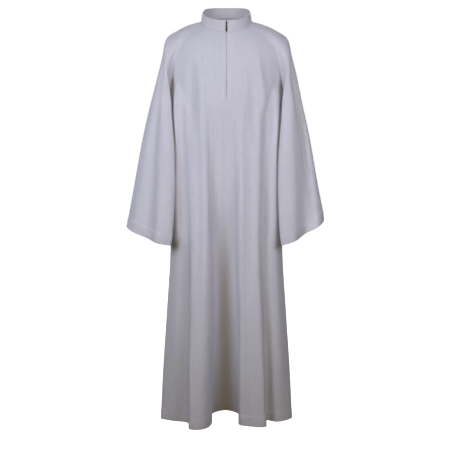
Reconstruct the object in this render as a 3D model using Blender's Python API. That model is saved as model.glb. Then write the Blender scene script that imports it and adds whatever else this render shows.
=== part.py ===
"""Alb robe: an A-line vestment with raglan bell sleeves, a band collar and a short front zip.

Metres, +Z up. The front faces -Y and the wearer's left is +X. The origin lies midway between
the two neck points, where the wearer's shoulders carry the robe. Every cloth piece is a wall:
an outer sheet of sections, an inner sheet moved in by the cloth's thickness, and closed edges.
"""

import math
from collections import namedtuple

import bmesh
import bpy
import numpy as np
from mathutils import Vector

# Driving dimensions
LENGTH = 1.450
HEM_DEPTH = 0.040
UNDERARM_Z = -0.300
CHEST_HALF_WIDTH = 0.200
CLOTH = 0.0016
TURNED_CLOTH = 0.0028
COLLAR_CLOTH = 0.0026
SEAM_GAP = 0.0003
SLIT_WIDTH = 0.0010
SLIT_FOOT_ROW = 1
FOLD_GROWTH = 1.35
CREASE_TAPER = 0.8
SHOULDER_ROUNDING = 0.6

FRONT_STEPS = 3
BACK_STEPS = 2
SLEEVE_STEPS = 2

COLLAR_TOP_HALF_WIDTH = 0.082
COLLAR_TOP_FRONT_Y = -0.075
COLLAR_TOP_BACK_Y = 0.060
COLLAR_TOP_Z = [(0.0, 0.006), (45.0, 0.020), (90.0, 0.037), (135.0, 0.045), (180.0, 0.047)]
COLLAR_BOW = 0.0004
COLLAR_END_TOP = 0.0025

TAPE_HALF_WIDTH = 0.012
TAPE_COLUMNS = 5
TAPE_CLOTH = 0.0010
TAPE_CLEARANCE = 0.00035
TAPE_FOOT_SHARE = 0.75

SLIDER_SIZE = Vector((0.0042, 0.0024, 0.0080))
SLIDER_CENTRE_Z = -0.0012
EAR_SIZE = Vector((0.0009, 0.0028, 0.0024))
EAR_GAP = 0.0024
EAR_FRONT_REACH = 0.0012
HINGE_REACH = 0.0015
HINGE_Z = 0.0010
HINGE_HOLE_RADIUS = 0.0007
PIN_RADIUS = 0.0004
PULL_HEAD_RADIUS = 0.0009
PULL_HEAD_WIDTH = 0.0018
PULL_LENGTH = 0.0315
PULL_TOP_WIDTH = 0.0022
PULL_FOOT_WIDTH = 0.0052
PULL_THICKNESS = 0.0012
ROUND_SIDES = 14

# Body sections from the hem up to the underarm
Section = namedtuple("Section", "z half_width front_y back_y")
SECTIONS = [
    Section(-1.450, 0.2450, -0.090, 0.160),
    Section(-1.260, 0.2340, -0.100, 0.157),
    Section(-1.030, 0.2170, -0.109, 0.150),
    Section(-0.800, 0.2015, -0.116, 0.140),
    Section(-0.550, 0.2000, -0.122, 0.128),
    Section(-0.300, 0.2000, -0.125, 0.118),
]
ROW_HEIGHTS = [-LENGTH, HEM_DEPTH - LENGTH, -1.300, -1.180, -1.060, -0.940, -0.820, -0.700, -0.580, -0.460,
               -0.380, UNDERARM_Z]

# Centre lines of the yoke, by rows counted up the raglan seam from the underarm
Yoke = namedtuple("Yoke", "row centre_y centre_z roundness")
FRONT_YOKE = [
    Yoke(0, -0.1250, -0.300, 90.0),
    Yoke(1, -0.1250, -0.256, 86.0),
    Yoke(4, -0.1200, -0.175, 74.0),
    Yoke(6, -0.1100, -0.120, 68.0),
    Yoke(8, -0.0960, -0.073, 63.0),
    Yoke(10, -0.0780, -0.033, 60.0),
]
BACK_YOKE = [
    Yoke(0, 0.1180, -0.300, 90.0),
    Yoke(1, 0.1220, -0.262, 86.0),
    Yoke(4, 0.1260, -0.165, 75.0),
    Yoke(6, 0.1180, -0.100, 69.0),
    Yoke(8, 0.0990, -0.042, 63.0),
    Yoke(10, 0.0720, 0.012, 60.0),
]

# Armhole of the wearer's left side, from the underarm up the front, over the neck, down the back
Armhole = namedtuple("Armhole", "name x y z")
ARMHOLE = [
    Armhole("underarm", 0.200, 0.000, -0.300),
    Armhole("front_low", 0.194, -0.024, -0.245),
    Armhole("front_crease", 0.184, -0.050, -0.180),
    Armhole("front_chest", 0.168, -0.066, -0.108),
    Armhole("front_shoulder", 0.127, -0.058, -0.053),
    Armhole("front_neck", 0.076, -0.039, -0.015),
    Armhole("neck_point", 0.088, 0.000, 0.000),
    Armhole("back_neck", 0.074, 0.040, -0.004),
    Armhole("back_shoulder", 0.122, 0.066, -0.044),
    Armhole("back_blade", 0.158, 0.089, -0.104),
    Armhole("back_crease", 0.181, 0.068, -0.178),
    Armhole("back_low", 0.194, 0.033, -0.245),
]
SEAM_ROWS = 5 * SLEEVE_STEPS
NECK_COLUMNS = 2 * SLEEVE_STEPS

# Fold lines: where each runs on the chest and where it meets the hem
Fold = namedtuple("Fold", "name chest_x hem_x hem_y begins")
FRONT_FOLDS = [
    Fold("right_side", -0.200, -0.245, 0.000, -0.300),
    Fold("right_flank", -0.180, -0.200, -0.025, -0.300),
    Fold("right_valley", -0.152, -0.139, -0.047, -0.180),
    Fold("right_step", -0.132, -0.135, -0.104, -0.200),
    Fold("right_ridge", -0.110, -0.105, -0.112, -0.200),
    Fold("right_lobe", -0.086, -0.076, -0.098, -0.220),
    Fold("centre_right_edge", -0.066, -0.055, -0.052, -0.240),
    Fold("centre_right_wall", -0.036, -0.051, 0.050, -0.270),
    Fold("centre_depth", 0.000, -0.005, 0.080, -0.290),
    Fold("centre_left_wall", 0.036, 0.043, 0.044, -0.270),
    Fold("centre_left_edge", 0.056, 0.047, -0.063, -0.240),
    Fold("left_lobe", 0.076, 0.075, -0.076, -0.220),
    Fold("left_ridge", 0.108, 0.142, -0.084, -0.240),
    Fold("left_valley", 0.138, 0.146, -0.018, -0.320),
    Fold("left_flank", 0.162, 0.183, -0.035, -0.280),
    Fold("left_outer", 0.182, 0.214, -0.024, -0.300),
    Fold("left_side", 0.200, 0.245, 0.010, -0.300),
]
BACK_FOLDS = [
    Fold("left_side", 0.200, 0.245, 0.010, -0.300),
    Fold("left_outer", 0.192, 0.240, 0.040, -0.300),
    Fold("left_flank", 0.177, 0.222, 0.078, -0.280),
    Fold("left_ridge", 0.154, 0.194, 0.112, -0.260),
    Fold("left_ridge_foot", 0.134, 0.166, 0.098, -0.260),
    Fold("left_valley", 0.116, 0.143, 0.082, -0.240),
    Fold("left_valley_wall", 0.100, 0.124, 0.122, -0.240),
    Fold("left_blade_ridge", 0.082, 0.098, 0.160, -0.220),
    Fold("left_blade_wall", 0.062, 0.070, 0.140, -0.260),
    Fold("left_centre_valley", 0.044, 0.050, 0.110, -0.300),
    Fold("left_centre_wall", 0.026, 0.031, 0.150, -0.300),
    Fold("centre_ridge", 0.006, 0.006, 0.173, -0.260),
    Fold("right_centre_wall", -0.014, -0.018, 0.144, -0.320),
    Fold("right_centre_valley", -0.034, -0.038, 0.116, -0.320),
    Fold("right_blade_wall", -0.052, -0.057, 0.150, -0.260),
    Fold("right_blade_ridge", -0.072, -0.080, 0.164, -0.220),
    Fold("right_valley_wall", -0.092, -0.106, 0.118, -0.250),
    Fold("right_valley", -0.108, -0.128, 0.086, -0.250),
    Fold("right_ridge_foot", -0.126, -0.152, 0.100, -0.260),
    Fold("right_ridge", -0.146, -0.184, 0.118, -0.260),
    Fold("right_flank", -0.172, -0.216, 0.080, -0.280),
    Fold("right_outer", -0.190, -0.239, 0.038, -0.300),
    Fold("right_side", -0.200, -0.245, 0.000, -0.300),
]

# Pulled creases of the chest and the shoulder blades; a depth above zero sinks into the robe
Crease = namedtuple("Crease", "name top_x top_z low_x low_z width depth")
FRONT_CREASES = [
    Crease("right_chest_valley", -0.118, -0.130, -0.122, -0.400, 0.016, 0.009),
    Crease("right_chest_ridge", -0.088, -0.110, -0.086, -0.440, 0.016, -0.006),
    Crease("left_chest_valley", 0.082, -0.120, 0.100, -0.420, 0.015, 0.005),
    Crease("left_chest_ridge", 0.106, -0.090, 0.142, -0.340, 0.013, -0.007),
]
BACK_CREASES = [
    Crease("left_blade_valley", 0.118, -0.150, 0.112, -0.460, 0.018, 0.008),
    Crease("right_blade_valley", -0.112, -0.150, -0.108, -0.460, 0.018, 0.008),
]

# Sleeve lines: the place of each in a round section near the armhole, in the flatter section
# below the elbow, and at either cuff
SleeveLine = namedtuple("SleeveLine", "name round_across across depth corner right_across "
                                      "right_depth left_across left_depth")
SLEEVE_LINES = [
    SleeveLine("inner", 0.00, 0.00, 0.00, 0.0, 0.02, 0.00, 0.02, 0.00),
    SleeveLine("inner_front", 0.18, 0.00, -0.56, 0.5, -0.02, -0.52, -0.02, -0.52),
    SleeveLine("front_corner", 0.39, 0.06, -0.94, 1.0, 0.04, -0.96, 0.02, -0.94),
    SleeveLine("front", 0.63, 0.36, -1.02, 0.3, 0.24, -1.08, 0.22, -0.98),
    SleeveLine("front_outer", 0.82, 0.72, -0.82, 0.0, 0.44, -0.74, 0.47, -0.54),
    SleeveLine("outer_front", 0.95, 0.94, -0.44, 0.0, 0.82, -0.62, 0.80, -0.62),
    SleeveLine("outer", 1.00, 1.00, 0.00, 0.0, 1.00, -0.02, 1.00, -0.06),
    SleeveLine("outer_back", 0.95, 0.94, 0.44, 0.0, 0.90, 0.52, 0.92, 0.50),
    SleeveLine("back_outer", 0.82, 0.72, 0.82, 0.0, 0.66, 0.98, 0.66, 0.96),
    SleeveLine("back", 0.63, 0.36, 1.02, 0.0, 0.42, 0.72, 0.40, 0.66),
    SleeveLine("back_corner", 0.39, 0.06, 0.94, 0.6, 0.10, 0.98, 0.12, 0.98),
    SleeveLine("inner_back", 0.18, 0.00, 0.56, 0.3, 0.00, 0.50, 0.00, 0.50),
]

# Sleeve stations beyond the armhole: outer point of either sleeve, inner point, depths, how far
# the shoulder rounds out, how far the corners reach round the body, and how flat the section is
Station = namedtuple("Station", "name right_x right_z left_x left_z inner_x inner_z front back "
                                "bulge hug flatness")
STATIONS = [
    Station("yoke", 0.132, -0.011, 0.132, -0.011, 0.2085, -0.3020, 0.064, 0.085, 0.018, 0.000, 0.00),
    Station("shoulder", 0.174, -0.033, 0.176, -0.033, 0.2130, -0.3040, 0.073, 0.090, 0.007, 0.006,
            0.00),
    Station("shoulder_point", 0.206, -0.056, 0.210, -0.058, 0.2155, -0.3070, 0.079, 0.090, 0.001,
            0.018, 0.05),
    Station("upper_arm", 0.223, -0.120, 0.227, -0.120, 0.2170, -0.3130, 0.083, 0.088, 0.000, 0.028,
            0.20),
    Station("elbow", 0.248, -0.215, 0.249, -0.215, 0.2175, -0.3260, 0.086, 0.089, 0.000, 0.034, 0.50),
    Station("below_elbow", 0.269, -0.297, 0.267, -0.297, 0.2175, -0.3560, 0.088, 0.091, 0.000, 0.036,
            0.85),
    Station("forearm", 0.294, -0.400, 0.289, -0.400, 0.2165, -0.4320, 0.091, 0.094, 0.000, 0.038,
            1.00),
    Station("bell", 0.324, -0.545, 0.317, -0.540, 0.2155, -0.5850, 0.095, 0.098, 0.000, 0.038, 1.00),
    Station("hem_top", 0.350, -0.680, 0.342, -0.658, 0.2155, -0.7320, 0.098, 0.102, 0.000, 0.030,
            1.00),
    Station("cuff", 0.357, -0.719, 0.348, -0.697, 0.2160, -0.7720, 0.098, 0.102, 0.000, 0.024, 1.00),
]
SLEEVE_FOLDS_BEGIN_Z = -0.180
HEM_STATIONS = 1
WRISTWARD_STEPS = 2

Level = namedtuple("Level", "end centre roundness")
Piece = namedtuple("Piece", "points quads thickness")


def clear_scene():
    """Remove every object, so that the file holds the robe alone."""
    for item in list(bpy.data.objects):
        bpy.data.objects.remove(item, do_unlink=True)


def new_collection(name):
    collection = bpy.data.collections.new(name)
    bpy.context.scene.collection.children.link(collection)
    return collection


def new_material(name, colour, roughness, metallic=0.0):
    material = bpy.data.materials.new(name)
    material.use_nodes = True
    shader = material.node_tree.nodes["Principled BSDF"]
    shader.inputs["Base Color"].default_value = (*colour, 1.0)
    shader.inputs["Roughness"].default_value = roughness
    shader.inputs["Metallic"].default_value = metallic
    return material


def smooth_line(points, steps, before, after):
    """Points on a smooth curve through the given ones, with a number of steps between each two."""
    padded = [np.array(p, dtype=float) for p in [before, *points, after]]
    line = []
    for i in range(1, len(padded) - 2):
        p0, p1, p2, p3 = padded[i - 1:i + 3]
        t01, t12, t23 = (max(np.linalg.norm(b - a), 1e-6) ** 0.5
                         for a, b in ((p0, p1), (p1, p2), (p2, p3)))
        m1 = t12 * ((p1 - p0) / t01 - (p2 - p0) / (t01 + t12) + (p2 - p1) / t12)
        m2 = t12 * ((p2 - p1) / t12 - (p3 - p1) / (t12 + t23) + (p3 - p2) / t23)
        for step in range(steps):
            t = step / steps
            line.append((2 * t**3 - 3 * t**2 + 1) * p1 + (t**3 - 2 * t**2 + t) * m1
                        + (3 * t**2 - 2 * t**3) * p2 + (t**3 - t**2) * m2)
    line.append(padded[-2])
    return line


def smooth_ring(points, steps):
    """The same for a closed ring."""
    closed = [*points, points[0]]
    return smooth_line(closed, steps, points[-1], points[1])[:-1]


def through(table, at):
    """Values of a table's later columns at a value of its first, on smooth curves."""
    rows = sorted(tuple(row) for row in table)
    knots = np.array([row[0] for row in rows])
    values = np.array([row[1:] for row in rows], dtype=float)
    slopes = np.gradient(values, knots, axis=0)
    i = int(np.clip(np.searchsorted(knots, at) - 1, 0, len(knots) - 2))
    span = knots[i + 1] - knots[i]
    t = (at - knots[i]) / span
    return ((2 * t**3 - 3 * t**2 + 1) * values[i] + (t**3 - 2 * t**2 + t) * span * slopes[i]
            + (3 * t**2 - 2 * t**3) * values[i + 1] + (t**3 - t**2) * span * slopes[i + 1])


def armhole_ring(side):
    """The seam round one armhole and the side of the neck; side is -1 or 1."""
    return [np.array((side * p[0], p[1], p[2]))
            for p in smooth_ring([row[1:] for row in ARMHOLE], SLEEVE_STEPS)]


def body_levels(yoke, section_column):
    """Levels of a body panel, from the hem to the neckline."""
    levels = []
    for z in ROW_HEIGHTS[:-1]:
        section = through(SECTIONS, z)
        levels.append(Level((section[0], 0.0, z), (section[section_column], z), math.radians(90.0)))
    ring = armhole_ring(1)
    seam = ring[:SEAM_ROWS + 1]
    if section_column == 2:
        seam = [ring[0], *reversed(ring[SEAM_ROWS + NECK_COLUMNS:])]
    for row, end in enumerate(seam):
        centre_y, centre_z, roundness = through(yoke, row)
        levels.append(Level(tuple(end), (centre_y, centre_z), math.radians(roundness)))
    return levels


def smooth_section(level, s):
    """A point of a level's smooth section; s runs from -1 at the right end to 1 at the left."""
    turn = level.roundness * s
    lift = (math.cos(turn) - math.cos(level.roundness)) / (1 - math.cos(level.roundness))
    x = level.end[0] * math.sin(turn) / math.sin(level.roundness)
    y = level.end[1] + (level.centre[0] - level.end[1]) * lift
    z = level.end[2] + (level.centre[1] - level.end[2]) * lift
    return np.array((x, y, z))


def fold_share(begins, z, low):
    """How far a fold has formed at a height, from 0 where it begins to 1 at the hem."""
    return min(max((begins - z) / (begins - low), 0.0), 1.0) ** FOLD_GROWTH


def crease_depth(creases, x, z):
    """How far the creases push a point in at one place."""
    depth = 0.0
    for crease in creases:
        t = (crease.top_z - z) / (crease.top_z - crease.low_z)
        if 0.0 < t < 1.0:
            middle = crease.top_x + (crease.low_x - crease.top_x) * t
            spread = math.exp(-((x - middle) / crease.width) ** 2)
            depth += crease.depth * spread * math.sin(math.pi * t) ** CREASE_TAPER
    return depth


def body_row(level, hem, folds, steps, creases):
    """One row of a body panel: its folds at that level on a smooth curve, with the creases."""
    facing = 1.0 if hem.centre[0] > 0 else -1.0
    points = []
    shifts = []
    places = [math.asin(fold.chest_x / CHEST_HALF_WIDTH) / math.radians(90.0) for fold in folds]
    for fold, s in zip(folds, places):
        base = smooth_section(level, s)
        shift = np.array((fold.hem_x, fold.hem_y, hem.centre[1])) - smooth_section(hem, s)
        shift *= fold_share(fold.begins, base[2], -LENGTH)
        points.append(base + shift)
        shifts.append(shift)
    beyond = []
    for end, near in ((0, 1), (-1, -2)):
        base = smooth_section(level, 2 * places[end] - places[near])
        turned = shifts[near] * (1.0, -1.0, 1.0) + shifts[end] * (0.0, 2.0, 0.0)
        beyond.append(base + turned)
    row = smooth_line(points, steps, *beyond)
    for point in row[1:-1]:
        point[1] -= facing * crease_depth(creases, point[0], point[2])
    return row


def body_panel(yoke, section_column, folds, steps, creases):
    """All rows of a body panel, its two seam edges set exactly on the shared seams."""
    levels = body_levels(yoke, section_column)
    rows = [body_row(level, levels[0], folds, steps, creases) for level in levels]
    for row, level in zip(rows[len(ROW_HEIGHTS) - 1:], levels[len(ROW_HEIGHTS) - 1:]):
        for end in (0, -1):
            row[end] = np.array((math.copysign(level.end[0], row[end][0]), *level.end[1:]))
    return rows


def sleeve_rings(side):
    """Rings of a sleeve from the armhole to the cuff; side is -1 for the wearer's right."""
    rings = [[np.array((side * row.x, row.y, row.z)) for row in ARMHOLE]]
    for station in STATIONS:
        outer_x = station.right_x if side < 0 else station.left_x
        outer_z = station.right_z if side < 0 else station.left_z
        inner = np.array((station.inner_x, station.inner_z))
        chord = np.array((outer_x, outer_z)) - inner
        outward = np.array((chord[1], -chord[0])) / np.linalg.norm(chord)
        cuff_z = STATIONS[-1].right_z if side < 0 else STATIONS[-1].left_z
        share = fold_share(SLEEVE_FOLDS_BEGIN_Z, outer_z, cuff_z)
        ring = []
        for line in SLEEVE_LINES:
            cuff_across = line.right_across if side < 0 else line.left_across
            cuff_depth = line.right_depth if side < 0 else line.left_depth
            across = line.round_across + (line.across - line.round_across) * station.flatness
            across += (cuff_across - across) * share
            depth = line.depth + (cuff_depth - line.depth) * share
            rounding = station.bulge * max(math.sin(math.pi * across), 0.0) ** SHOULDER_ROUNDING
            x, z = inner + chord * across + outward * rounding
            x -= station.hug * line.corner
            y = depth * (station.front if depth < 0 else station.back)
            ring.append(np.array((side * x, y, z)))
        rings.append(ring)
    lines = [smooth_line(line, WRISTWARD_STEPS, 2 * line[0] - line[1], 2 * line[-1] - line[-2])
             for line in zip(*rings)]
    return [smooth_ring(list(ring), SLEEVE_STEPS) for ring in zip(*lines)]


def grid_quads(rows, columns, closed=False, flip=False):
    """Faces of a grid, each as four (row, column) keys, turned to look outward."""
    quads = []
    for r in range(rows - 1):
        for c in range(columns if closed else columns - 1):
            across = (c + 1) % columns
            quad = ((r, c), (r, across), (r + 1, across), (r + 1, c))
            quads.append(quad[::-1] if flip else quad)
    return quads


def grid_piece(rows, thickness, closed=False, flip=False):
    """A cloth piece from rows of points; thickness has one value for each row."""
    points = {(r, c): p for r, row in enumerate(rows) for c, p in enumerate(row)}
    quads = grid_quads(len(rows), len(rows[0]), closed, flip)
    return Piece(points, quads, {key: thickness[key[0]] for key in points})


def open_slit(piece, centre, foot_row):
    """Part the cloth along one column, from a row up to the top edge."""
    points = dict(piece.points)
    thickness = dict(piece.thickness)
    quads = []
    for (r, c), point in piece.points.items():
        if c == centre and r > foot_row:
            points[(r, c)] = point - (SLIT_WIDTH / 2, 0.0, 0.0)
            points[(r, c, "left")] = point + (SLIT_WIDTH / 2, 0.0, 0.0)
            thickness[(r, c, "left")] = thickness[(r, c)]
    for quad in piece.quads:
        on_left = min(c for _, c in quad) == centre
        quads.append(tuple((*key, "left") if on_left and (*key, "left") in points else key
                           for key in quad))
    return Piece(points, quads, thickness)


def place(point):
    return tuple(round(float(value), 6) for value in point)


def quad_normal(piece, quad):
    a, b, c, d = (piece.points[key] for key in quad)
    return np.cross(c - a, d - b)


def shared_normals(groups):
    """Outward directions by place, midway between the groups of pieces that meet there."""
    meeting = {}
    for pieces in groups:
        sums = {}
        for piece in pieces:
            for quad in piece.quads:
                normal = quad_normal(piece, quad)
                normal = normal / np.linalg.norm(normal)
                for key in quad:
                    at = place(piece.points[key])
                    sums[at] = sums.get(at, np.zeros(3)) + normal
        for at, total in sums.items():
            meeting[at] = meeting.get(at, np.zeros(3)) + total / np.linalg.norm(total)
    return {at: total / np.linalg.norm(total) for at, total in meeting.items()}


def edge_setbacks(piece, edges, normals, gap):
    """How far each edge point is drawn back into its own cloth, to leave half a seam's gap."""
    along = {}
    inward = {}
    for a, b in edges:
        for key in (a, b):
            along[key] = along.get(key, np.zeros(3)) + piece.points[b] - piece.points[a]
    for quad in piece.quads:
        centre = sum(piece.points[key] for key in quad) / 4
        for key in quad:
            if key in along:
                inward[key] = inward.get(key, np.zeros(3)) + centre - piece.points[key]
    setbacks = {}
    for key, direction in inward.items():
        across = np.cross(along[key], normals[place(piece.points[key])])
        across *= math.copysign(1.0, np.dot(across, direction)) / np.linalg.norm(across)
        setbacks[key] = across * gap / 2
    return setbacks


def wall_object(name, piece, normals, material, collection, gap=SEAM_GAP):
    """A closed wall: the outer sheet, the inner sheet, and the cut edges between them."""
    directed = {(quad[i], quad[(i + 1) % 4]) for quad in piece.quads for i in range(4)}
    edges = [(a, b) for a, b in sorted(directed, key=str) if (b, a) not in directed]
    setbacks = edge_setbacks(piece, edges, normals, gap)
    keys = list(piece.points)
    number = {key: i for i, key in enumerate(keys)}
    outer = [piece.points[key] + setbacks.get(key, 0.0) for key in keys]
    inner = [point - normals[place(piece.points[key])] * piece.thickness[key]
             for key, point in zip(keys, outer)]
    count = len(keys)
    faces = [[number[key] for key in quad] for quad in piece.quads]
    faces += [[number[key] + count for key in reversed(quad)] for quad in piece.quads]
    for a, b in edges:
        a_out, b_out = number[a], number[b]
        a_in, b_in = a_out + count, b_out + count
        if place(piece.points[a]) < place(piece.points[b]):
            faces += [[b_out, a_out, b_in], [a_out, a_in, b_in]]
        else:
            faces += [[b_out, a_out, a_in], [b_out, a_in, b_in]]
    mesh = bpy.data.meshes.new(name)
    mesh.from_pydata([tuple(point) for point in outer + inner], [], faces)
    mesh.update()
    mesh.shade_smooth()
    mesh.set_sharp_from_angle(angle=math.radians(50.0))
    mesh.materials.append(material)
    item = bpy.data.objects.new(name, mesh)
    collection.objects.link(item)
    return item


def collar_rows(neckline):
    """The band collar's three rows on the neckline, from its left front end round to its right."""
    top_y = (COLLAR_TOP_FRONT_Y + COLLAR_TOP_BACK_Y) / 2
    reach = (COLLAR_TOP_BACK_Y - COLLAR_TOP_FRONT_Y) / 2
    base_y = (neckline[0][1] + max(point[1] for point in neckline)) / 2
    top = []
    middle = []
    for i, point in enumerate(neckline):
        turn = math.atan2(abs(point[0]), base_y - point[1])
        side = math.copysign(1.0, point[0])
        height = through(COLLAR_TOP_Z, math.degrees(turn))[0]
        x = side * COLLAR_TOP_HALF_WIDTH * math.sin(turn)
        if i in (0, len(neckline) - 1):
            x = side * COLLAR_END_TOP
        top.append(np.array((x, top_y - reach * math.cos(turn), height)))
        bow = np.array((side * math.sin(turn), -math.cos(turn), 0.0)) * COLLAR_BOW
        middle.append((point + top[-1]) / 2 + bow)
    return [neckline, middle, top]


def row_at(row, normals, x):
    """The outer point and outward direction of a row of cloth at a place across the front."""
    xs = [point[0] for point in row]
    towards = [normals[place(point)] for point in row]
    point = np.array([x, *(np.interp(x, xs, [p[i] for p in row]) for i in (1, 2))])
    normal = np.array([0.0, *(np.interp(x, xs, [n[i] for n in towards]) for i in (1, 2))])
    return point, normal / np.linalg.norm(normal)


def front_of_collar(row):
    """The part of a collar row near its front ends, ordered from right to left."""
    reach = 3 * TAPE_HALF_WIDTH
    near = [point for point in row if abs(point[0]) < reach and point[1] < 0]
    return sorted(near, key=lambda point: point[0])


def tape_rows(front_rows, collar, normals):
    """The zip tape's rows, behind the slit and the collar's ends, clear of both walls."""
    foot = len(ROW_HEIGHTS) - 1 + SLIT_FOOT_ROW
    rows = []
    for r in range(foot - 1, len(front_rows)):
        offset = (COLLAR_CLOTH if r == len(front_rows) - 1 else CLOTH) + TAPE_CLEARANCE
        rows.append((front_rows[r], offset))
    for row in collar[1:]:
        rows.append((front_of_collar(row), COLLAR_CLOTH + TAPE_CLEARANCE))
    xs = np.linspace(-TAPE_HALF_WIDTH, TAPE_HALF_WIDTH, TAPE_COLUMNS)
    tape = []
    for row, offset in rows:
        places = [row_at(row, normals, x) for x in xs]
        tape.append([point - normal * offset for point, normal in places])
    tape[0] = [low + (high - low) * TAPE_FOOT_SHARE for low, high in zip(tape[0], tape[1])]
    return tape


def mesh_object(name, shape, material, collection, location=(0, 0, 0), tilt=0.0):
    """An object from a bmesh, with its origin at the location."""
    mesh = bpy.data.meshes.new(name)
    shape.to_mesh(mesh)
    shape.free()
    mesh.materials.append(material)
    item = bpy.data.objects.new(name, mesh)
    item.location = location
    item.rotation_euler.x = tilt
    collection.objects.link(item)
    return item


def block(size, centre):
    shape = bmesh.new()
    bmesh.ops.create_cube(shape, size=1.0)
    bmesh.ops.scale(shape, vec=size, verts=shape.verts)
    bmesh.ops.translate(shape, vec=centre, verts=shape.verts)
    return shape


def rod(radius, width):
    """A cylinder along X, centred."""
    shape = bmesh.new()
    bmesh.ops.create_cone(shape, cap_ends=True, segments=ROUND_SIDES, radius1=radius,
                          radius2=radius, depth=width)
    quarter = [vert.co.copy() for vert in shape.verts]
    for vert, point in zip(shape.verts, quarter):
        vert.co = Vector((point.z, point.y, -point.x))
    return shape


def join_or_cut(item, other, operation):
    """Join another object to an item, or cut it away, and keep the other as a hidden guide."""
    other.hide_render = True
    other.display_type = "WIRE"
    boolean = item.modifiers.new(f"{operation.lower()}_{other.name}", "BOOLEAN")
    boolean.operation = operation
    boolean.object = other


def add_zip_slider(tape_front, tilt, material, collection, guides):
    """The slider, flat on the tape, with two ears that hold the pull tab's pin."""
    seat = Vector(tape_front)
    centre = Vector((0.0, -SEAM_GAP - SLIDER_SIZE.y / 2, 0.0))
    slider = mesh_object("zip_slider", block(SLIDER_SIZE, centre), material, collection, seat, tilt)
    hinge = Vector((0.0, -SEAM_GAP - SLIDER_SIZE.y - HINGE_REACH, HINGE_Z - SLIDER_CENTRE_Z))
    for side in (-1, 1):
        middle = Vector((side * (EAR_GAP + EAR_SIZE.x) / 2, hinge.y - EAR_FRONT_REACH + EAR_SIZE.y / 2,
                         hinge.z))
        ear = mesh_object(f"ear_{side}", block(EAR_SIZE, middle), material, guides, seat, tilt)
        join_or_cut(slider, ear, "UNION")
    hole = mesh_object("ear_hole", rod(HINGE_HOLE_RADIUS, 2 * SLIDER_SIZE.x), material, guides)
    hole.location = seat + Vector((0.0, hinge.y * math.cos(tilt) - hinge.z * math.sin(tilt),
                                   hinge.y * math.sin(tilt) + hinge.z * math.cos(tilt)))
    join_or_cut(slider, hole, "DIFFERENCE")
    return hole.location.copy()


def add_zip_pull(hinge, material, collection, guides):
    """The pull tab, hanging from its pin, wider towards its foot."""
    shape = block(Vector((1.0, PULL_THICKNESS, PULL_LENGTH)), Vector((0.0, 0.0, -PULL_LENGTH / 2)))
    for vert in shape.verts:
        width = PULL_TOP_WIDTH if vert.co.z > -PULL_LENGTH / 2 else PULL_FOOT_WIDTH
        vert.co.x *= width
    pull = mesh_object("zip_pull", shape, material, collection, hinge)
    for name, radius, width in (("pull_head", PULL_HEAD_RADIUS, PULL_HEAD_WIDTH),
                                ("pull_pin", PIN_RADIUS, EAR_GAP + 2 * EAR_SIZE.x)):
        piece = mesh_object(name, rod(radius, width), material, guides, hinge)
        join_or_cut(pull, piece, "UNION")


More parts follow.
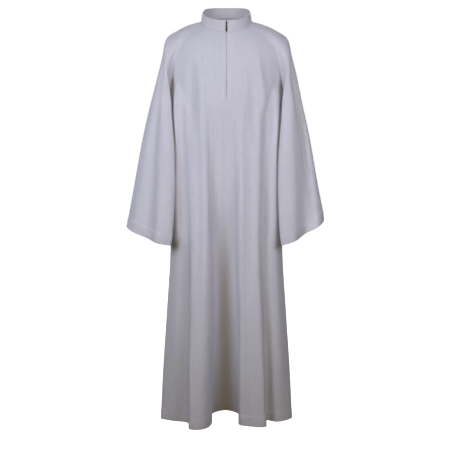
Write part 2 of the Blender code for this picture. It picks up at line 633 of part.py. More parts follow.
def main():
    clear_scene()
    robe = new_collection("alb_robe")
    guides = new_collection("alb_robe_guides")
    cloth = new_material("off_white_twill", (0.68, 0.67, 0.74), 0.85)
    sleeve_cloth = new_material("off_white_twill_sleeve", (0.66, 0.65, 0.73), 0.85)
    band_cloth = new_material("off_white_twill_band", (0.62, 0.61, 0.70), 0.80)
    tape_cloth = new_material("zip_tape_weave", (0.60, 0.59, 0.62), 0.90)
    metal = new_material("dark_bronze", (0.05, 0.03, 0.025), 0.45, 0.8)

    front_rows = body_panel(FRONT_YOKE, 1, FRONT_FOLDS, FRONT_STEPS, FRONT_CREASES)
    back_rows = body_panel(BACK_YOKE, 2, BACK_FOLDS, BACK_STEPS, BACK_CREASES)
    sleeves = {side: sleeve_rings(side) for side in (-1, 1)}

    left_neck = sleeves[1][0][SEAM_ROWS:SEAM_ROWS + NECK_COLUMNS + 1]
    right_neck = sleeves[-1][0][SEAM_ROWS:SEAM_ROWS + NECK_COLUMNS + 1]
    centre = FRONT_STEPS * [fold.chest_x for fold in FRONT_FOLDS].index(0.0)
    neckline = (front_rows[-1][centre + 1:-1] + left_neck + back_rows[-1][1:-1]
                + right_neck[::-1] + front_rows[-1][1:centre])
    collar = collar_rows(neckline)

    body_thickness = [TURNED_CLOTH, TURNED_CLOTH] + [CLOTH] * (len(front_rows) - 2)
    ring_count = len(sleeves[1])
    turned = HEM_STATIONS * WRISTWARD_STEPS + 1
    sleeve_thickness = [CLOTH] * (ring_count - turned) + [TURNED_CLOTH] * turned
    front = open_slit(grid_piece(front_rows, body_thickness), centre,
                      len(ROW_HEIGHTS) - 1 + SLIT_FOOT_ROW)
    pieces = {
        "front_panel": (front, cloth),
        "back_panel": (grid_piece(back_rows, body_thickness), cloth),
        "sleeve_right": (grid_piece(sleeves[-1], sleeve_thickness, closed=True), sleeve_cloth),
        "sleeve_left": (grid_piece(sleeves[1], sleeve_thickness, closed=True, flip=True),
                        sleeve_cloth),
        "collar": (grid_piece(collar, [COLLAR_CLOTH] * len(collar)), band_cloth),
    }
    groups = (("front_panel", "back_panel"), ("sleeve_right",), ("sleeve_left",), ("collar",))
    normals = shared_normals([[pieces[name][0] for name in group] for group in groups])
    for name, (piece, material) in pieces.items():
        wall_object(name, piece, normals, material, robe)

    whole_front = grid_piece(front_rows, body_thickness)
    front_normals = {**shared_normals([[whole_front]]), **normals}
    tape = tape_rows(front_rows, collar, front_normals)
    tape_piece = grid_piece(tape, [TAPE_CLOTH] * len(tape))
    wall_object("zip_tape", tape_piece, shared_normals([[tape_piece]]), tape_cloth, robe, gap=0.0)

    middle, high = tape[-2][TAPE_COLUMNS // 2], tape[-1][TAPE_COLUMNS // 2]
    share = (SLIDER_CENTRE_Z - middle[2]) / (high[2] - middle[2])
    tilt = math.atan2(middle[1] - high[1], high[2] - middle[2])
    hinge = add_zip_slider(middle + (high - middle) * share, tilt, metal, robe, guides)
    add_zip_pull(hinge, metal, robe, guides)


main()
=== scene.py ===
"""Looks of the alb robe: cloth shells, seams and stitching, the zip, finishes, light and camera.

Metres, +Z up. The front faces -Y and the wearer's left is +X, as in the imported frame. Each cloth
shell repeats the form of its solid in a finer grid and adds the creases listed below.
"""

import logging
import math
from dataclasses import dataclass, field
from enum import Enum
from typing import NamedTuple, Optional, Sequence, TypeVar

import bpy
import numpy as np
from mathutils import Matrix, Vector


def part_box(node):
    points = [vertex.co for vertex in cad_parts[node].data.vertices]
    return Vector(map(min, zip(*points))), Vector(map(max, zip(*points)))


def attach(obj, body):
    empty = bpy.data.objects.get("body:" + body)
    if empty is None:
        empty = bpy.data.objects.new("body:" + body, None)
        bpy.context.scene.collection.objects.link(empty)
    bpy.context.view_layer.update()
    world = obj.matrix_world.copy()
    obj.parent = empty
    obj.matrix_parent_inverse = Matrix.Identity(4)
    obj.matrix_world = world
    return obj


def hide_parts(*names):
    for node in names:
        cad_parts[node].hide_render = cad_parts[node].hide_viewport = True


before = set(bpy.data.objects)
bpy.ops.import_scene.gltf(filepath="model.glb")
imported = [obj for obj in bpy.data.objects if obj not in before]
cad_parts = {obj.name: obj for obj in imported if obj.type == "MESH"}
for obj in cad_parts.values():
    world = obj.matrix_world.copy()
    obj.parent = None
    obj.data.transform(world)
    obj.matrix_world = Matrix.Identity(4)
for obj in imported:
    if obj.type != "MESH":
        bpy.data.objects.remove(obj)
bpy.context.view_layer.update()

LOG = logging.getLogger("alb_robe")
Array = np.ndarray
Row = TypeVar("Row", bound=tuple)

ROBE_BODY = "robe"

# Sizes shared by the robe's pieces
LENGTH = 1.450
UNDERARM_Z = -0.300
CHEST_HALF_WIDTH = 0.200
SLEEVE_FOLDS_BEGIN_Z = -0.180
CLOTH = 0.0010
TURNED_CLOTH = 0.0022
COLLAR_CLOTH = 0.0022

# Steps of the grids: rows in a hem, rows or columns from one seam point to the next, and
# places on a line of hem stitches to one column
HEM_ROWS = 12
SEAM_STEPS = 11
LINE_SAMPLES = 6

# Powers that shape folds, creases and the shoulder, and the soft ridge beside a fine valley
FOLD_GROWTH = 1.35
CREASE_TAPER = 0.8
FINE_TAPER = 0.7
SHOULDER_ROUNDING = 0.6
SIDE_RIDGE = 0.4
SIDE_RIDGE_AT = 1.7
SIDE_RIDGE_WIDTH = 1.1

# A hem: its stitched line pulls in with puckers, its turned band stands out
HEM_DEPTH = 0.040
HEM_LINE_WIDTH = 0.0032
HEM_LINE_DEPTH = 0.0009
HEM_PUCKER = 0.0003
HEM_BAND_RISE = 0.0007
HEM_BAND_EDGE = (-0.002, 0.004)
HEM_RIPPLE = 0.0005

# The zip's slit, and the columns of the grid beside it, counted in fold lines
ZIP_FOOT_Z = -0.255
ZIP_COLUMNS_FROM = 0.27
ZIP_COLUMNS = np.array([0.012, 0.035, 0.07, 0.12, 0.18, 0.235])
SLIT_OPENS_OVER = 0.004
SLIT_FACES_ABOVE = 0.001
SLIT_CLOSED_GAP = 0.00005
SLIT_OPEN_GAP = 0.0006
SLIT_ROLL = 0.0011
SLIT_ROLL_REACH = 0.0022

# The front's flanks beside the sleeves; their ends in metres below the neck point
FLANK_X = 0.180
FLANK_REACH = 0.016
FLANK_RISE_RIGHT = 0.0200
FLANK_RISE_LEFT = 0.0170
FLANK_TOP = (0.19, 0.27)
FLANK_FOOT = (0.68, 0.82)

# Unevenness of the cloth, and the grid steps over which it fades out at a panel's edges
SLOW_DRIFT = 0.0009
QUICK_DRIFT = 0.0004
SLEEVE_DRIFT = 0.0008
FADE_COLUMNS = 7.0
FADE_ROWS = 9.0

# Yarn noise: scale across and along the cloth, offset, and its share of the slubs
SLUB_NOISE = ((34.0, 520.0, 3.1, 0.25), (560.0, 26.0, 7.7, 0.2), (46.0, 230.0, 5.9, 0.35),
              (220.0, 10.0, 9.1, 0.2))
MOTTLE_NOISE = (9.0, 7.0, 1.3)
DIAGONAL_SHARE = 0.32
RIB_SHARE = 0.18
WEAVE_HEIGHT = 0.5
MEAN_TONE = 0.72
SLUB_TONE = 1.5
SLUB_SHINE = -0.12


class Section(NamedTuple):
    """A level cut of the body: half its width, and how far it reaches to the front and back."""

    z: float
    half_width: float
    front_y: float
    back_y: float


class Yoke(NamedTuple):
    """The middle of a body panel beside the raglan seam; two rows go to one seam point."""

    row: int
    centre_y: float
    centre_z: float
    roundness: float


class SeamPoint(NamedTuple):
    """A point of the armhole seam on the wearer's left."""

    name: str
    x: float
    y: float
    z: float


class Fold(NamedTuple):
    """A fold line: where it runs on the chest, where it meets the hem, where it begins."""

    name: str
    chest_x: float
    hem_x: float
    hem_y: float
    begins: float


class Crease(NamedTuple):
    """A crease between two places; a depth above zero sinks into the robe.

    A place is x and z on a body panel, and line and station numbers on a sleeve.
    """

    name: str
    top_across: float
    top_level: float
    low_across: float
    low_level: float
    width: float
    depth: float


class SleeveLine(NamedTuple):
    """A line down a sleeve: its place in the round, the flat and either cuff's section."""

    name: str
    round_across: float
    across: float
    depth: float
    corner: float
    right_across: float
    right_depth: float
    left_across: float
    left_depth: float


class Station(NamedTuple):
    """A section of the sleeves: outer point of either one, inner point, depths and form."""

    name: str
    right_x: float
    right_z: float
    left_x: float
    left_z: float
    inner_x: float
    inner_z: float
    front: float
    back: float
    bulge: float
    hug: float
    flatness: float


class Side(Enum):
    """The wearer's right or left."""

    RIGHT = -1
    LEFT = 1


class Panel(Enum):
    """A body panel, and the column of the section table that holds its reach."""

    FRONT = 1
    BACK = 2


def rows_of(kind: type[Row], *rows: Sequence) -> list[Row]:
    """A table's rows, all of one kind."""
    return [kind(*row) for row in rows]


SECTIONS = rows_of(
    Section,
    (-1.45, 0.245, -0.09, 0.16),
    (-1.26, 0.234, -0.1, 0.157),
    (-1.03, 0.217, -0.109, 0.15),
    (-0.8, 0.2015, -0.116, 0.14),
    (-0.55, 0.2, -0.122, 0.1285),
    (-0.3, 0.2, -0.125, 0.1235),
)
FRONT_YOKE = rows_of(
    Yoke,
    (0, -0.125, -0.3, 90.0),
    (1, -0.125, -0.256, 86.0),
    (4, -0.12, -0.175, 74.0),
    (6, -0.11, -0.12, 68.0),
    (8, -0.096, -0.073, 63.0),
    (10, -0.078, -0.033, 60.0),
)
BACK_YOKE = rows_of(
    Yoke,
    (0, 0.1235, -0.3, 90.0),
    (1, 0.1235, -0.262, 86.0),
    (4, 0.126, -0.165, 75.0),
    (6, 0.118, -0.1, 69.0),
    (8, 0.099, -0.042, 63.0),
    (10, 0.072, 0.012, 60.0),
)
ARMHOLE = rows_of(
    SeamPoint,
    ("underarm", 0.2, 0.0, -0.3),
    ("front_low", 0.194, -0.024, -0.245),
    ("front_crease", 0.184, -0.05, -0.18),
    ("front_chest", 0.168, -0.066, -0.108),
    ("front_shoulder", 0.127, -0.058, -0.053),
    ("front_neck", 0.076, -0.039, -0.015),
    ("neck_point", 0.088, 0.0, 0.0),
    ("back_neck", 0.074, 0.04, -0.004),
    ("back_shoulder", 0.122, 0.066, -0.044),
    ("back_blade", 0.158, 0.089, -0.104),
    ("back_crease", 0.181, 0.068, -0.178),
    ("back_low", 0.194, 0.033, -0.245),
)
FRONT_NECK = 5
BACK_NECK = 7

FRONT_FOLDS = rows_of(
    Fold,
    ("right_side", -0.2, -0.245, 0.0, -0.3),
    ("right_flank", -0.18, -0.2, -0.025, -0.3),
    ("right_valley", -0.152, -0.139, -0.047, -0.18),
    ("right_step", -0.132, -0.135, -0.104, -0.2),
    ("right_ridge", -0.11, -0.105, -0.112, -0.2),
    ("right_lobe", -0.086, -0.076, -0.098, -0.22),
    ("centre_right_edge", -0.066, -0.055, -0.052, -0.24),
    ("centre_right_wall", -0.036, -0.051, 0.05, -0.27),
    ("centre_depth", 0.0, -0.005, 0.08, -0.29),
    ("centre_left_wall", 0.036, 0.043, 0.044, -0.27),
    ("centre_left_edge", 0.056, 0.047, -0.063, -0.24),
    ("left_lobe", 0.076, 0.075, -0.076, -0.22),
    ("left_ridge", 0.108, 0.142, -0.084, -0.24),
    ("left_valley", 0.138, 0.146, -0.018, -0.32),
    ("left_flank", 0.162, 0.183, -0.035, -0.28),
    ("left_outer", 0.182, 0.214, -0.024, -0.3),
    ("left_side", 0.2, 0.245, 0.01, -0.3),
)
BACK_FOLDS = rows_of(
    Fold,
    ("left_side", 0.2, 0.245, 0.01, -0.3),
    ("left_outer", 0.192, 0.24, 0.04, -0.3),
    ("left_flank", 0.177, 0.222, 0.078, -0.28),
    ("left_ridge", 0.154, 0.194, 0.112, -0.26),
    ("left_ridge_foot", 0.134, 0.166, 0.098, -0.26),
    ("left_valley", 0.116, 0.143, 0.082, -0.24),
    ("left_valley_wall", 0.1, 0.124, 0.122, -0.24),
    ("left_blade_ridge", 0.082, 0.098, 0.16, -0.22),
    ("left_blade_wall", 0.062, 0.07, 0.14, -0.26),
    ("left_centre_valley", 0.044, 0.05, 0.11, -0.3),
    ("left_centre_wall", 0.026, 0.031, 0.15, -0.3),
    ("centre_ridge", 0.006, 0.006, 0.173, -0.26),
    ("right_centre_wall", -0.014, -0.018, 0.144, -0.32),
    ("right_centre_valley", -0.034, -0.038, 0.116, -0.32),
    ("right_blade_wall", -0.052, -0.057, 0.15, -0.26),
    ("right_blade_ridge", -0.072, -0.08, 0.164, -0.22),
    ("right_valley_wall", -0.092, -0.106, 0.118, -0.25),
    ("right_valley", -0.108, -0.128, 0.086, -0.25),
    ("right_ridge_foot", -0.126, -0.152, 0.1, -0.26),
    ("right_ridge", -0.146, -0.184, 0.118, -0.26),
    ("right_flank", -0.172, -0.216, 0.08, -0.28),
    ("right_outer", -0.19, -0.239, 0.038, -0.3),
    ("right_side", -0.2, -0.245, 0.0, -0.3),
)

# Creases that the solids have too, then the finer ones of the cloth alone
FRONT_CREASES = rows_of(
    Crease,
    ("right_chest_valley", -0.118, -0.13, -0.122, -0.4, 0.016, 0.009),
    ("right_chest_ridge", -0.088, -0.11, -0.086, -0.44, 0.016, -0.006),
    ("left_chest_valley", 0.082, -0.12, 0.1, -0.42, 0.015, 0.005),
    ("left_chest_ridge", 0.106, -0.09, 0.142, -0.34, 0.013, -0.007),
)
BACK_CREASES = rows_of(
    Crease,
    ("left_blade_valley", 0.118, -0.15, 0.112, -0.46, 0.018, 0.008),
    ("right_blade_valley", -0.112, -0.15, -0.108, -0.46, 0.018, 0.008),
)
FRONT_FINE = rows_of(
    Crease,
    ("right_armpit_pull", -0.172, -0.165, -0.126, -0.3, 0.01, 0.0022),
    ("right_armpit_low", -0.178, -0.23, -0.15, -0.42, 0.011, 0.002),
    ("left_chest_crest", 0.104, -0.085, 0.14, -0.33, 0.006, -0.0016),
    ("left_armpit_pull", 0.172, -0.17, 0.134, -0.32, 0.01, 0.0022),
    ("left_armpit_low", 0.18, -0.24, 0.156, -0.44, 0.012, 0.0022),
    ("recess_right_line", -0.06, -0.26, -0.053, -0.9, 0.006, 0.003),
    ("recess_left_line", 0.027, -0.76, 0.0225, -0.27, 0.006, 0.003),
    ("recess_right_crest", -0.086, -0.24, -0.078, -1.05, 0.012, -0.005),
    ("recess_left_crest", 0.051, -0.27, 0.05, -1.1, 0.012, -0.005),
    ("recess_floor_right", -0.038, -0.262, -0.034, -0.98, 0.02, 0.0105),
    ("recess_floor_left", 0.006, -0.98, 0.004, -0.272, 0.02, 0.0105),
    ("recess_depth", -0.01, -0.56, -0.012, -1.32, 0.026, 0.016),
    ("right_flank_dip", -0.152, -0.28, -0.158, -0.74, 0.01, 0.005),
    ("left_flank_dip", 0.137, -0.24, 0.133, -0.9, 0.014, 0.011),
    ("zip_foot_right", -0.01, -0.236, -0.03, -0.33, 0.009, 0.0014),
    ("zip_foot_left", 0.01, -0.236, 0.032, -0.345, 0.009, 0.0014),
    ("right_waist_valley", -0.088, -0.36, -0.094, -0.86, 0.011, 0.0026),
    ("left_waist_valley", 0.082, -0.4, 0.09, -0.94, 0.01, 0.0022),
    ("right_flank_ridge", -0.172, -0.5, -0.186, -1.25, 0.014, -0.003),
    ("left_flank_ridge", 0.17, -0.56, 0.196, -1.3, 0.013, -0.003),
    ("right_hem_wave", -0.12, -1.08, -0.118, -1.47, 0.013, 0.003),
    ("left_hem_wave", 0.104, -1.14, 0.11, -1.47, 0.012, 0.0028),
)
BACK_FINE = rows_of(
    Crease,
    ("left_yoke_pull", 0.06, -0.06, 0.126, -0.21, 0.01, 0.0018),
    ("right_yoke_pull", -0.058, -0.064, -0.12, -0.22, 0.01, 0.0018),
    ("nape_right", -0.018, -0.05, -0.026, -0.24, 0.012, -0.0016),
    ("nape_left", 0.03, -0.06, 0.034, -0.26, 0.012, 0.0014),
    ("left_armhole_pull", 0.176, -0.22, 0.14, -0.4, 0.012, 0.0026),
    ("right_armhole_pull", -0.176, -0.215, -0.142, -0.39, 0.012, 0.0026),
    ("left_seat_wave", 0.13, -0.56, 0.15, -1.1, 0.014, -0.0026),
    ("right_seat_wave", -0.12, -0.6, -0.134, -1.15, 0.014, -0.0026),
    ("centre_wave", 0.012, -0.7, 0.016, -1.42, 0.012, 0.003),
    ("left_hem_wave", 0.078, -1.1, 0.086, -1.47, 0.011, 0.0028),
    ("right_hem_wave", -0.066, -1.06, -0.072, -1.47, 0.011, 0.0028),
)
SLEEVE_FINE = rows_of(
    Crease,
    ("front_shoulder_dip", 3.2, 0.6, 3.0, 3.2, 0.45, 0.0022),
    ("armpit_pull", 1.9, 0.4, 2.9, 3.8, 0.4, 0.0028),
    ("elbow_pull", 1.6, 3.2, 3.6, 5.2, 0.36, 0.0022),
    ("front_drape", 3.7, 2.6, 3.4, 7.4, 0.42, 0.0024),
    ("outer_drape", 5.2, 3.0, 5.4, 8.6, 0.46, 0.002),
    ("forearm_ridge", 2.7, 5.0, 2.6, 9.4, 0.4, -0.0022),
    ("back_shoulder_dip", 8.8, 0.6, 8.9, 3.6, 0.5, 0.0026),
    ("back_drape", 8.4, 2.4, 8.0, 7.6, 0.46, 0.003),
    ("back_outer_drape", 7.2, 4.0, 7.0, 9.2, 0.44, -0.0024),
    ("back_pull", 10.4, 0.5, 9.2, 4.2, 0.42, 0.0028),
    ("inner_drape", 11.3, 3.5, 11.2, 8.8, 0.4, 0.0018),
)
SLEEVE_DEEP = {
    Side.RIGHT: rows_of(
        Crease,
        ("front_valley", 3.4, 4.8, 3.8, 9.8, 0.4, 0.0095),
        ("front_ridge", 2.3, 4.0, 2.5, 9.8, 0.5, -0.0055),
    ),
    Side.LEFT: rows_of(
        Crease,
        ("front_valley", 3.8, 3.6, 5.0, 9.9, 0.45, 0.019),
        ("front_ridge", 2.5, 4.0, 3.0, 9.8, 0.55, -0.0045),
    ),
}
SLEEVE_LINES = rows_of(
    SleeveLine,
    ("inner", 0.0, 0.0, 0.0, 0.0, 0.02, 0.0, 0.02, 0.0),
    ("inner_front", 0.18, 0.0, -0.56, 0.5, -0.02, -0.52, -0.02, -0.52),
    ("front_corner", 0.39, 0.06, -0.94, 1.0, 0.04, -0.96, 0.02, -0.94),
    ("front", 0.63, 0.36, -1.02, 0.3, 0.24, -1.08, 0.22, -0.98),
    ("front_outer", 0.82, 0.72, -0.82, 0.0, 0.44, -0.74, 0.47, -0.54),
    ("outer_front", 0.95, 0.94, -0.44, 0.0, 0.82, -0.62, 0.8, -0.62),
    ("outer", 1.0, 1.0, 0.0, 0.0, 1.0, -0.02, 1.0, -0.06),
    ("outer_back", 0.95, 0.94, 0.44, 0.0, 0.9, 0.52, 0.92, 0.5),
    ("back_outer", 0.82, 0.72, 0.82, 0.0, 0.66, 0.98, 0.66, 0.96),
    ("back", 0.63, 0.36, 1.02, 0.0, 0.42, 0.72, 0.4, 0.66),
    ("back_corner", 0.39, 0.06, 0.94, 0.6, 0.1, 0.98, 0.12, 0.98),
    ("inner_back", 0.18, 0.0, 0.56, 0.3, 0.0, 0.5, 0.0, 0.5),
)
STATIONS = rows_of(
    Station,
    ("yoke", 0.132, -0.011, 0.132, -0.011, 0.2085, -0.302, 0.064, 0.085, 0.018, 0.0, 0.0),
    ("shoulder", 0.174, -0.033, 0.176, -0.033, 0.213, -0.304, 0.073, 0.09, 0.007, 0.006, 0.0),
    ("shoulder_tip", 0.206, -0.056, 0.21, -0.058, 0.2155, -0.307, 0.079, 0.09, 0.001, 0.018, 0.05),
    ("upper_arm", 0.223, -0.12, 0.227, -0.12, 0.217, -0.313, 0.083, 0.088, 0.0, 0.028, 0.2),
    ("elbow", 0.248, -0.215, 0.249, -0.215, 0.2175, -0.326, 0.086, 0.089, 0.0, 0.034, 0.5),
    ("below_elbow", 0.269, -0.297, 0.267, -0.297, 0.2175, -0.356, 0.088, 0.091, 0.0, 0.036, 0.85),
    ("forearm", 0.294, -0.4, 0.289, -0.4, 0.2165, -0.432, 0.091, 0.094, 0.0, 0.038, 1.0),
    ("bell", 0.324, -0.545, 0.317, -0.54, 0.2155, -0.585, 0.095, 0.098, 0.0, 0.038, 1.0),
    ("hem_top", 0.35, -0.68, 0.342, -0.658, 0.2155, -0.732, 0.098, 0.102, 0.0, 0.03, 1.0),
    ("cuff", 0.357, -0.719, 0.348, -0.697, 0.216, -0.772, 0.098, 0.102, 0.0, 0.024, 1.0),
)


def hermite(t: Array, start: Array, leaving: Array, end: Array, arriving: Array) -> Array:
    """Places on a cubic between two points with given slopes; t runs from 0 to 1."""
    return ((2 * t**3 - 3 * t**2 + 1) * start + (t**3 - 2 * t**2 + t) * leaving
            + (3 * t**2 - 2 * t**3) * end + (t**3 - t**2) * arriving)


def smooth_curve(points: Array, before: Array, after: Array, at: Array) -> Array:
    """Places on a smooth curve through points, without overshoot between close ones.

    Args:
        points: The points, along the first axis; further axes may hold parallel curves.
        before: A point ahead of the first, which sets the direction there.
        after: A point beyond the last.
        at: Places along the curve, counted in points from 0.

    Returns:
        The curve at those places, along the first axis.
    """
    padded = np.concatenate([before[None], points, after[None]])
    steps = np.maximum(np.linalg.norm(np.diff(padded, axis=0), axis=-1), 1e-6)[..., None] ** 0.5
    index = np.clip(np.floor(at).astype(int), 0, len(points) - 2)
    t = (at - index).reshape((-1,) + (1,) * (points.ndim - 1))
    p0, p1, p2, p3 = (padded[index + k] for k in range(4))
    t01, t12, t23 = (steps[index + k] for k in range(3))
    m1 = t12 * ((p1 - p0) / t01 - (p2 - p0) / (t01 + t12) + (p2 - p1) / t12)
    m2 = t12 * ((p2 - p1) / t12 - (p3 - p1) / (t12 + t23) + (p3 - p2) / t23)
    return hermite(t, p1, m1, p2, m2)


def smooth_ring(points: Array, at: Array) -> Array:
    """Places on a closed smooth curve; see smooth_curve."""
    closed = np.concatenate([points, points[:1]])
    return smooth_curve(closed, points[-1], points[1], at)


def through(table: Sequence[tuple], at: float) -> Array:
    """Values of a table's later columns at a value of its first, on smooth curves."""
    rows = sorted(tuple(row) for row in table)
    knots = np.array([row[0] for row in rows], dtype=float)
    values = np.array([row[1:] for row in rows], dtype=float)
    slopes = np.gradient(values, knots, axis=0)
    i = int(np.clip(np.searchsorted(knots, at) - 1, 0, len(knots) - 2))
    span = knots[i + 1] - knots[i]
    t = (at - knots[i]) / span
    return hermite(t, values[i], span * slopes[i], values[i + 1], span * slopes[i + 1])


def fold_share(begins: float, z: float, low: float) -> float:
    """How far a fold has formed at a height, from 0 where it begins to 1 at the hem."""
    return min(max((begins - z) / (begins - low), 0.0), 1.0) ** FOLD_GROWTH


def soft_step(values: Array, low: float, high: float) -> Array:
    """0 below low, 1 above high, and a smooth rise between."""
    t = np.clip((values - low) / (high - low), 0.0, 1.0)
    return t * t * (3 - 2 * t)


def grid_normals(grid: Array, closed: bool, flip: bool) -> Array:
    """Outward directions of a grid of points."""
    if closed:
        across = np.roll(grid, -1, axis=1) - np.roll(grid, 1, axis=1)
    else:
        across = np.gradient(grid, axis=1)
    down = np.gradient(grid, axis=0)
    normals = np.cross(across, down) * (-1.0 if flip else 1.0)
    return normals / np.maximum(np.linalg.norm(normals, axis=-1, keepdims=True), 1e-12)


def armhole(side: Side) -> Array:
    """The named points of the armhole seam on one side."""
    return np.array([row[1:] for row in ARMHOLE]) * (side.value, 1.0, 1.0)


def armhole_point(side: Side, at: Array) -> Array:
    """Places on the armhole seam, counted in its named points from the underarm."""
    return smooth_ring(armhole(side), np.mod(at, len(ARMHOLE)))


@dataclass(frozen=True)
class BodyForm:
    """The form of a body panel, from the hem up to the neckline."""

    panel: Panel
    yoke: Sequence[Yoke]
    folds: Sequence[Fold]
    creases: Sequence[Crease]

    def level(self, z: float) -> tuple[Array, Array, float]:
        """End point, middle point and roundness of the section at a height below the arms."""
        section = through(SECTIONS, z)
        end = np.array((section[0], 0.0, z))
        return end, np.array((section[self.panel.value], z)), math.radians(90.0)

    def seam_level(self, at: float) -> tuple[Array, Array, float]:
        """The same beside the raglan seam, counted in seam points from the underarm."""
        count = len(ARMHOLE)
        end = armhole_point(Side.LEFT, np.array([at if self.panel is Panel.FRONT else count - at]))
        centre_y, centre_z, roundness = through(self.yoke, 2 * at)
        return end[0], np.array((centre_y, centre_z)), math.radians(roundness)

    @staticmethod
    def smooth_section(level: tuple[Array, Array, float], s: Array) -> Array:
        """Points of a level's smooth section; s runs from -1 at the right end to 1."""
        end, centre, roundness = level
        turn = roundness * s
        lift = (np.cos(turn) - math.cos(roundness)) / (1 - math.cos(roundness))
        x = end[0] * np.sin(turn) / math.sin(roundness)
        return np.stack([x, end[1] + (centre[0] - end[1]) * lift,
                         end[2] + (centre[1] - end[2]) * lift], axis=-1)

    def crease_depth(self, points: Array) -> Array:
        """How far the creases that the solid has too push points in."""
        depth = np.zeros(len(points))
        for crease in self.creases:
            t = (crease.top_level - points[:, 2]) / (crease.top_level - crease.low_level)
            inside = np.clip(t, 0.0, 1.0)
            middle = crease.top_across + (crease.low_across - crease.top_across) * inside
            spread = np.exp(-((points[:, 0] - middle) / crease.width) ** 2)
            depth += crease.depth * spread * np.abs(np.sin(math.pi * inside)) ** CREASE_TAPER
        return depth

    def row(self, level: tuple[Array, Array, float], columns: Array) -> Array:
        """One row of the panel.

        Args:
            level: The section's end, middle and roundness.
            columns: Places across the row, counted in fold lines.

        Returns:
            The row's points.
        """
        hem = self.level(-LENGTH)
        facing = 1.0 if self.panel is Panel.BACK else -1.0
        chest = np.array([fold.chest_x for fold in self.folds])
        s = np.arcsin(chest / CHEST_HALF_WIDTH) / math.radians(90.0)
        base = self.smooth_section(level, s)
        feet = np.array([(fold.hem_x, fold.hem_y, hem[1][1]) for fold in self.folds])
        shares = [fold_share(f.begins, z, -LENGTH) for f, z in zip(self.folds, base[:, 2])]
        shift = (feet - self.smooth_section(hem, s)) * np.array(shares)[:, None]
        points = base + shift
        beyond = []
        for end, near in ((0, 1), (-1, -2)):
            mirror = self.smooth_section(level, np.array([2 * s[end] - s[near]]))[0]
            beyond.append(mirror + shift[near] * (1.0, -1.0, 1.0) + shift[end] * (0.0, 2.0, 0.0))
        row = smooth_curve(points, beyond[0], beyond[1], columns)
        row[1:-1, 1] -= facing * self.crease_depth(row[1:-1])
        return row

    def grid(self, heights: Array, seam: Array, columns: Array) -> Array:
        """The whole panel: rows at heights from the hem up, then rows up the raglan seam."""
        rows = [self.row(self.level(z), columns) for z in heights]
        for at in seam:
            level = self.seam_level(at)
            row = self.row(level, columns)
            for end in (0, -1):
                row[end] = level[0] * (math.copysign(1.0, row[end][0]), 1.0, 1.0)
            rows.append(row)
        return np.array(rows)


FRONT_FORM = BodyForm(Panel.FRONT, FRONT_YOKE, FRONT_FOLDS, FRONT_CREASES)
BACK_FORM = BodyForm(Panel.BACK, BACK_YOKE, BACK_FOLDS, BACK_CREASES)


@dataclass(frozen=True)
class SleeveForm:
    """The form of a sleeve, from the armhole seam to the cuff."""

    side: Side

    def own(self, row: NamedTuple, *columns: str) -> Array:
        """The values that a table row has for this side."""
        return np.array([getattr(row, f"{self.side.name.lower()}_{name}") for name in columns])

    def outer(self, station: Station) -> Array:
        """The outer point of a station on this side."""
        return self.own(station, "x", "z")

    def ring(self, station: Station) -> Array:
        """The named points of one section."""
        inner = np.array((station.inner_x, station.inner_z))
        chord = self.outer(station) - inner
        outward = np.array((chord[1], -chord[0])) / np.linalg.norm(chord)
        share = fold_share(SLEEVE_FOLDS_BEGIN_Z, self.outer(station)[1],
                           self.outer(STATIONS[-1])[1])
        ring = []
        for line in SLEEVE_LINES:
            cuff_across, cuff_depth = self.own(line, "across", "depth")
            across = line.round_across + (line.across - line.round_across) * station.flatness
            across += (cuff_across - across) * share
            depth = line.depth + (cuff_depth - line.depth) * share
            rounding = station.bulge * max(math.sin(math.pi * across), 0.0) ** SHOULDER_ROUNDING
            x, z = inner + chord * across + outward * rounding
            y = depth * (station.front if depth < 0 else station.back)
            ring.append((self.side.value * (x - station.hug * line.corner), y, z))
        return np.array(ring)

    def grid(self, down: Array, around: Array) -> Array:
        """The whole sleeve: rings at places down it, points at places round each ring."""
        rings = np.array([armhole(self.side), *(self.ring(station) for station in STATIONS)])
        lines = smooth_curve(rings, 2 * rings[0] - rings[1], 2 * rings[-1] - rings[-2], down)
        return np.array([smooth_ring(ring, around) for ring in lines])


def spread_evenly(counts: Sequence[int]) -> Array:
    """Places along a curve with its own number of steps in each stretch between two points."""
    places = [i + np.arange(count) / count for i, count in enumerate(counts)]
    return np.concatenate([*places, [float(len(counts))]])


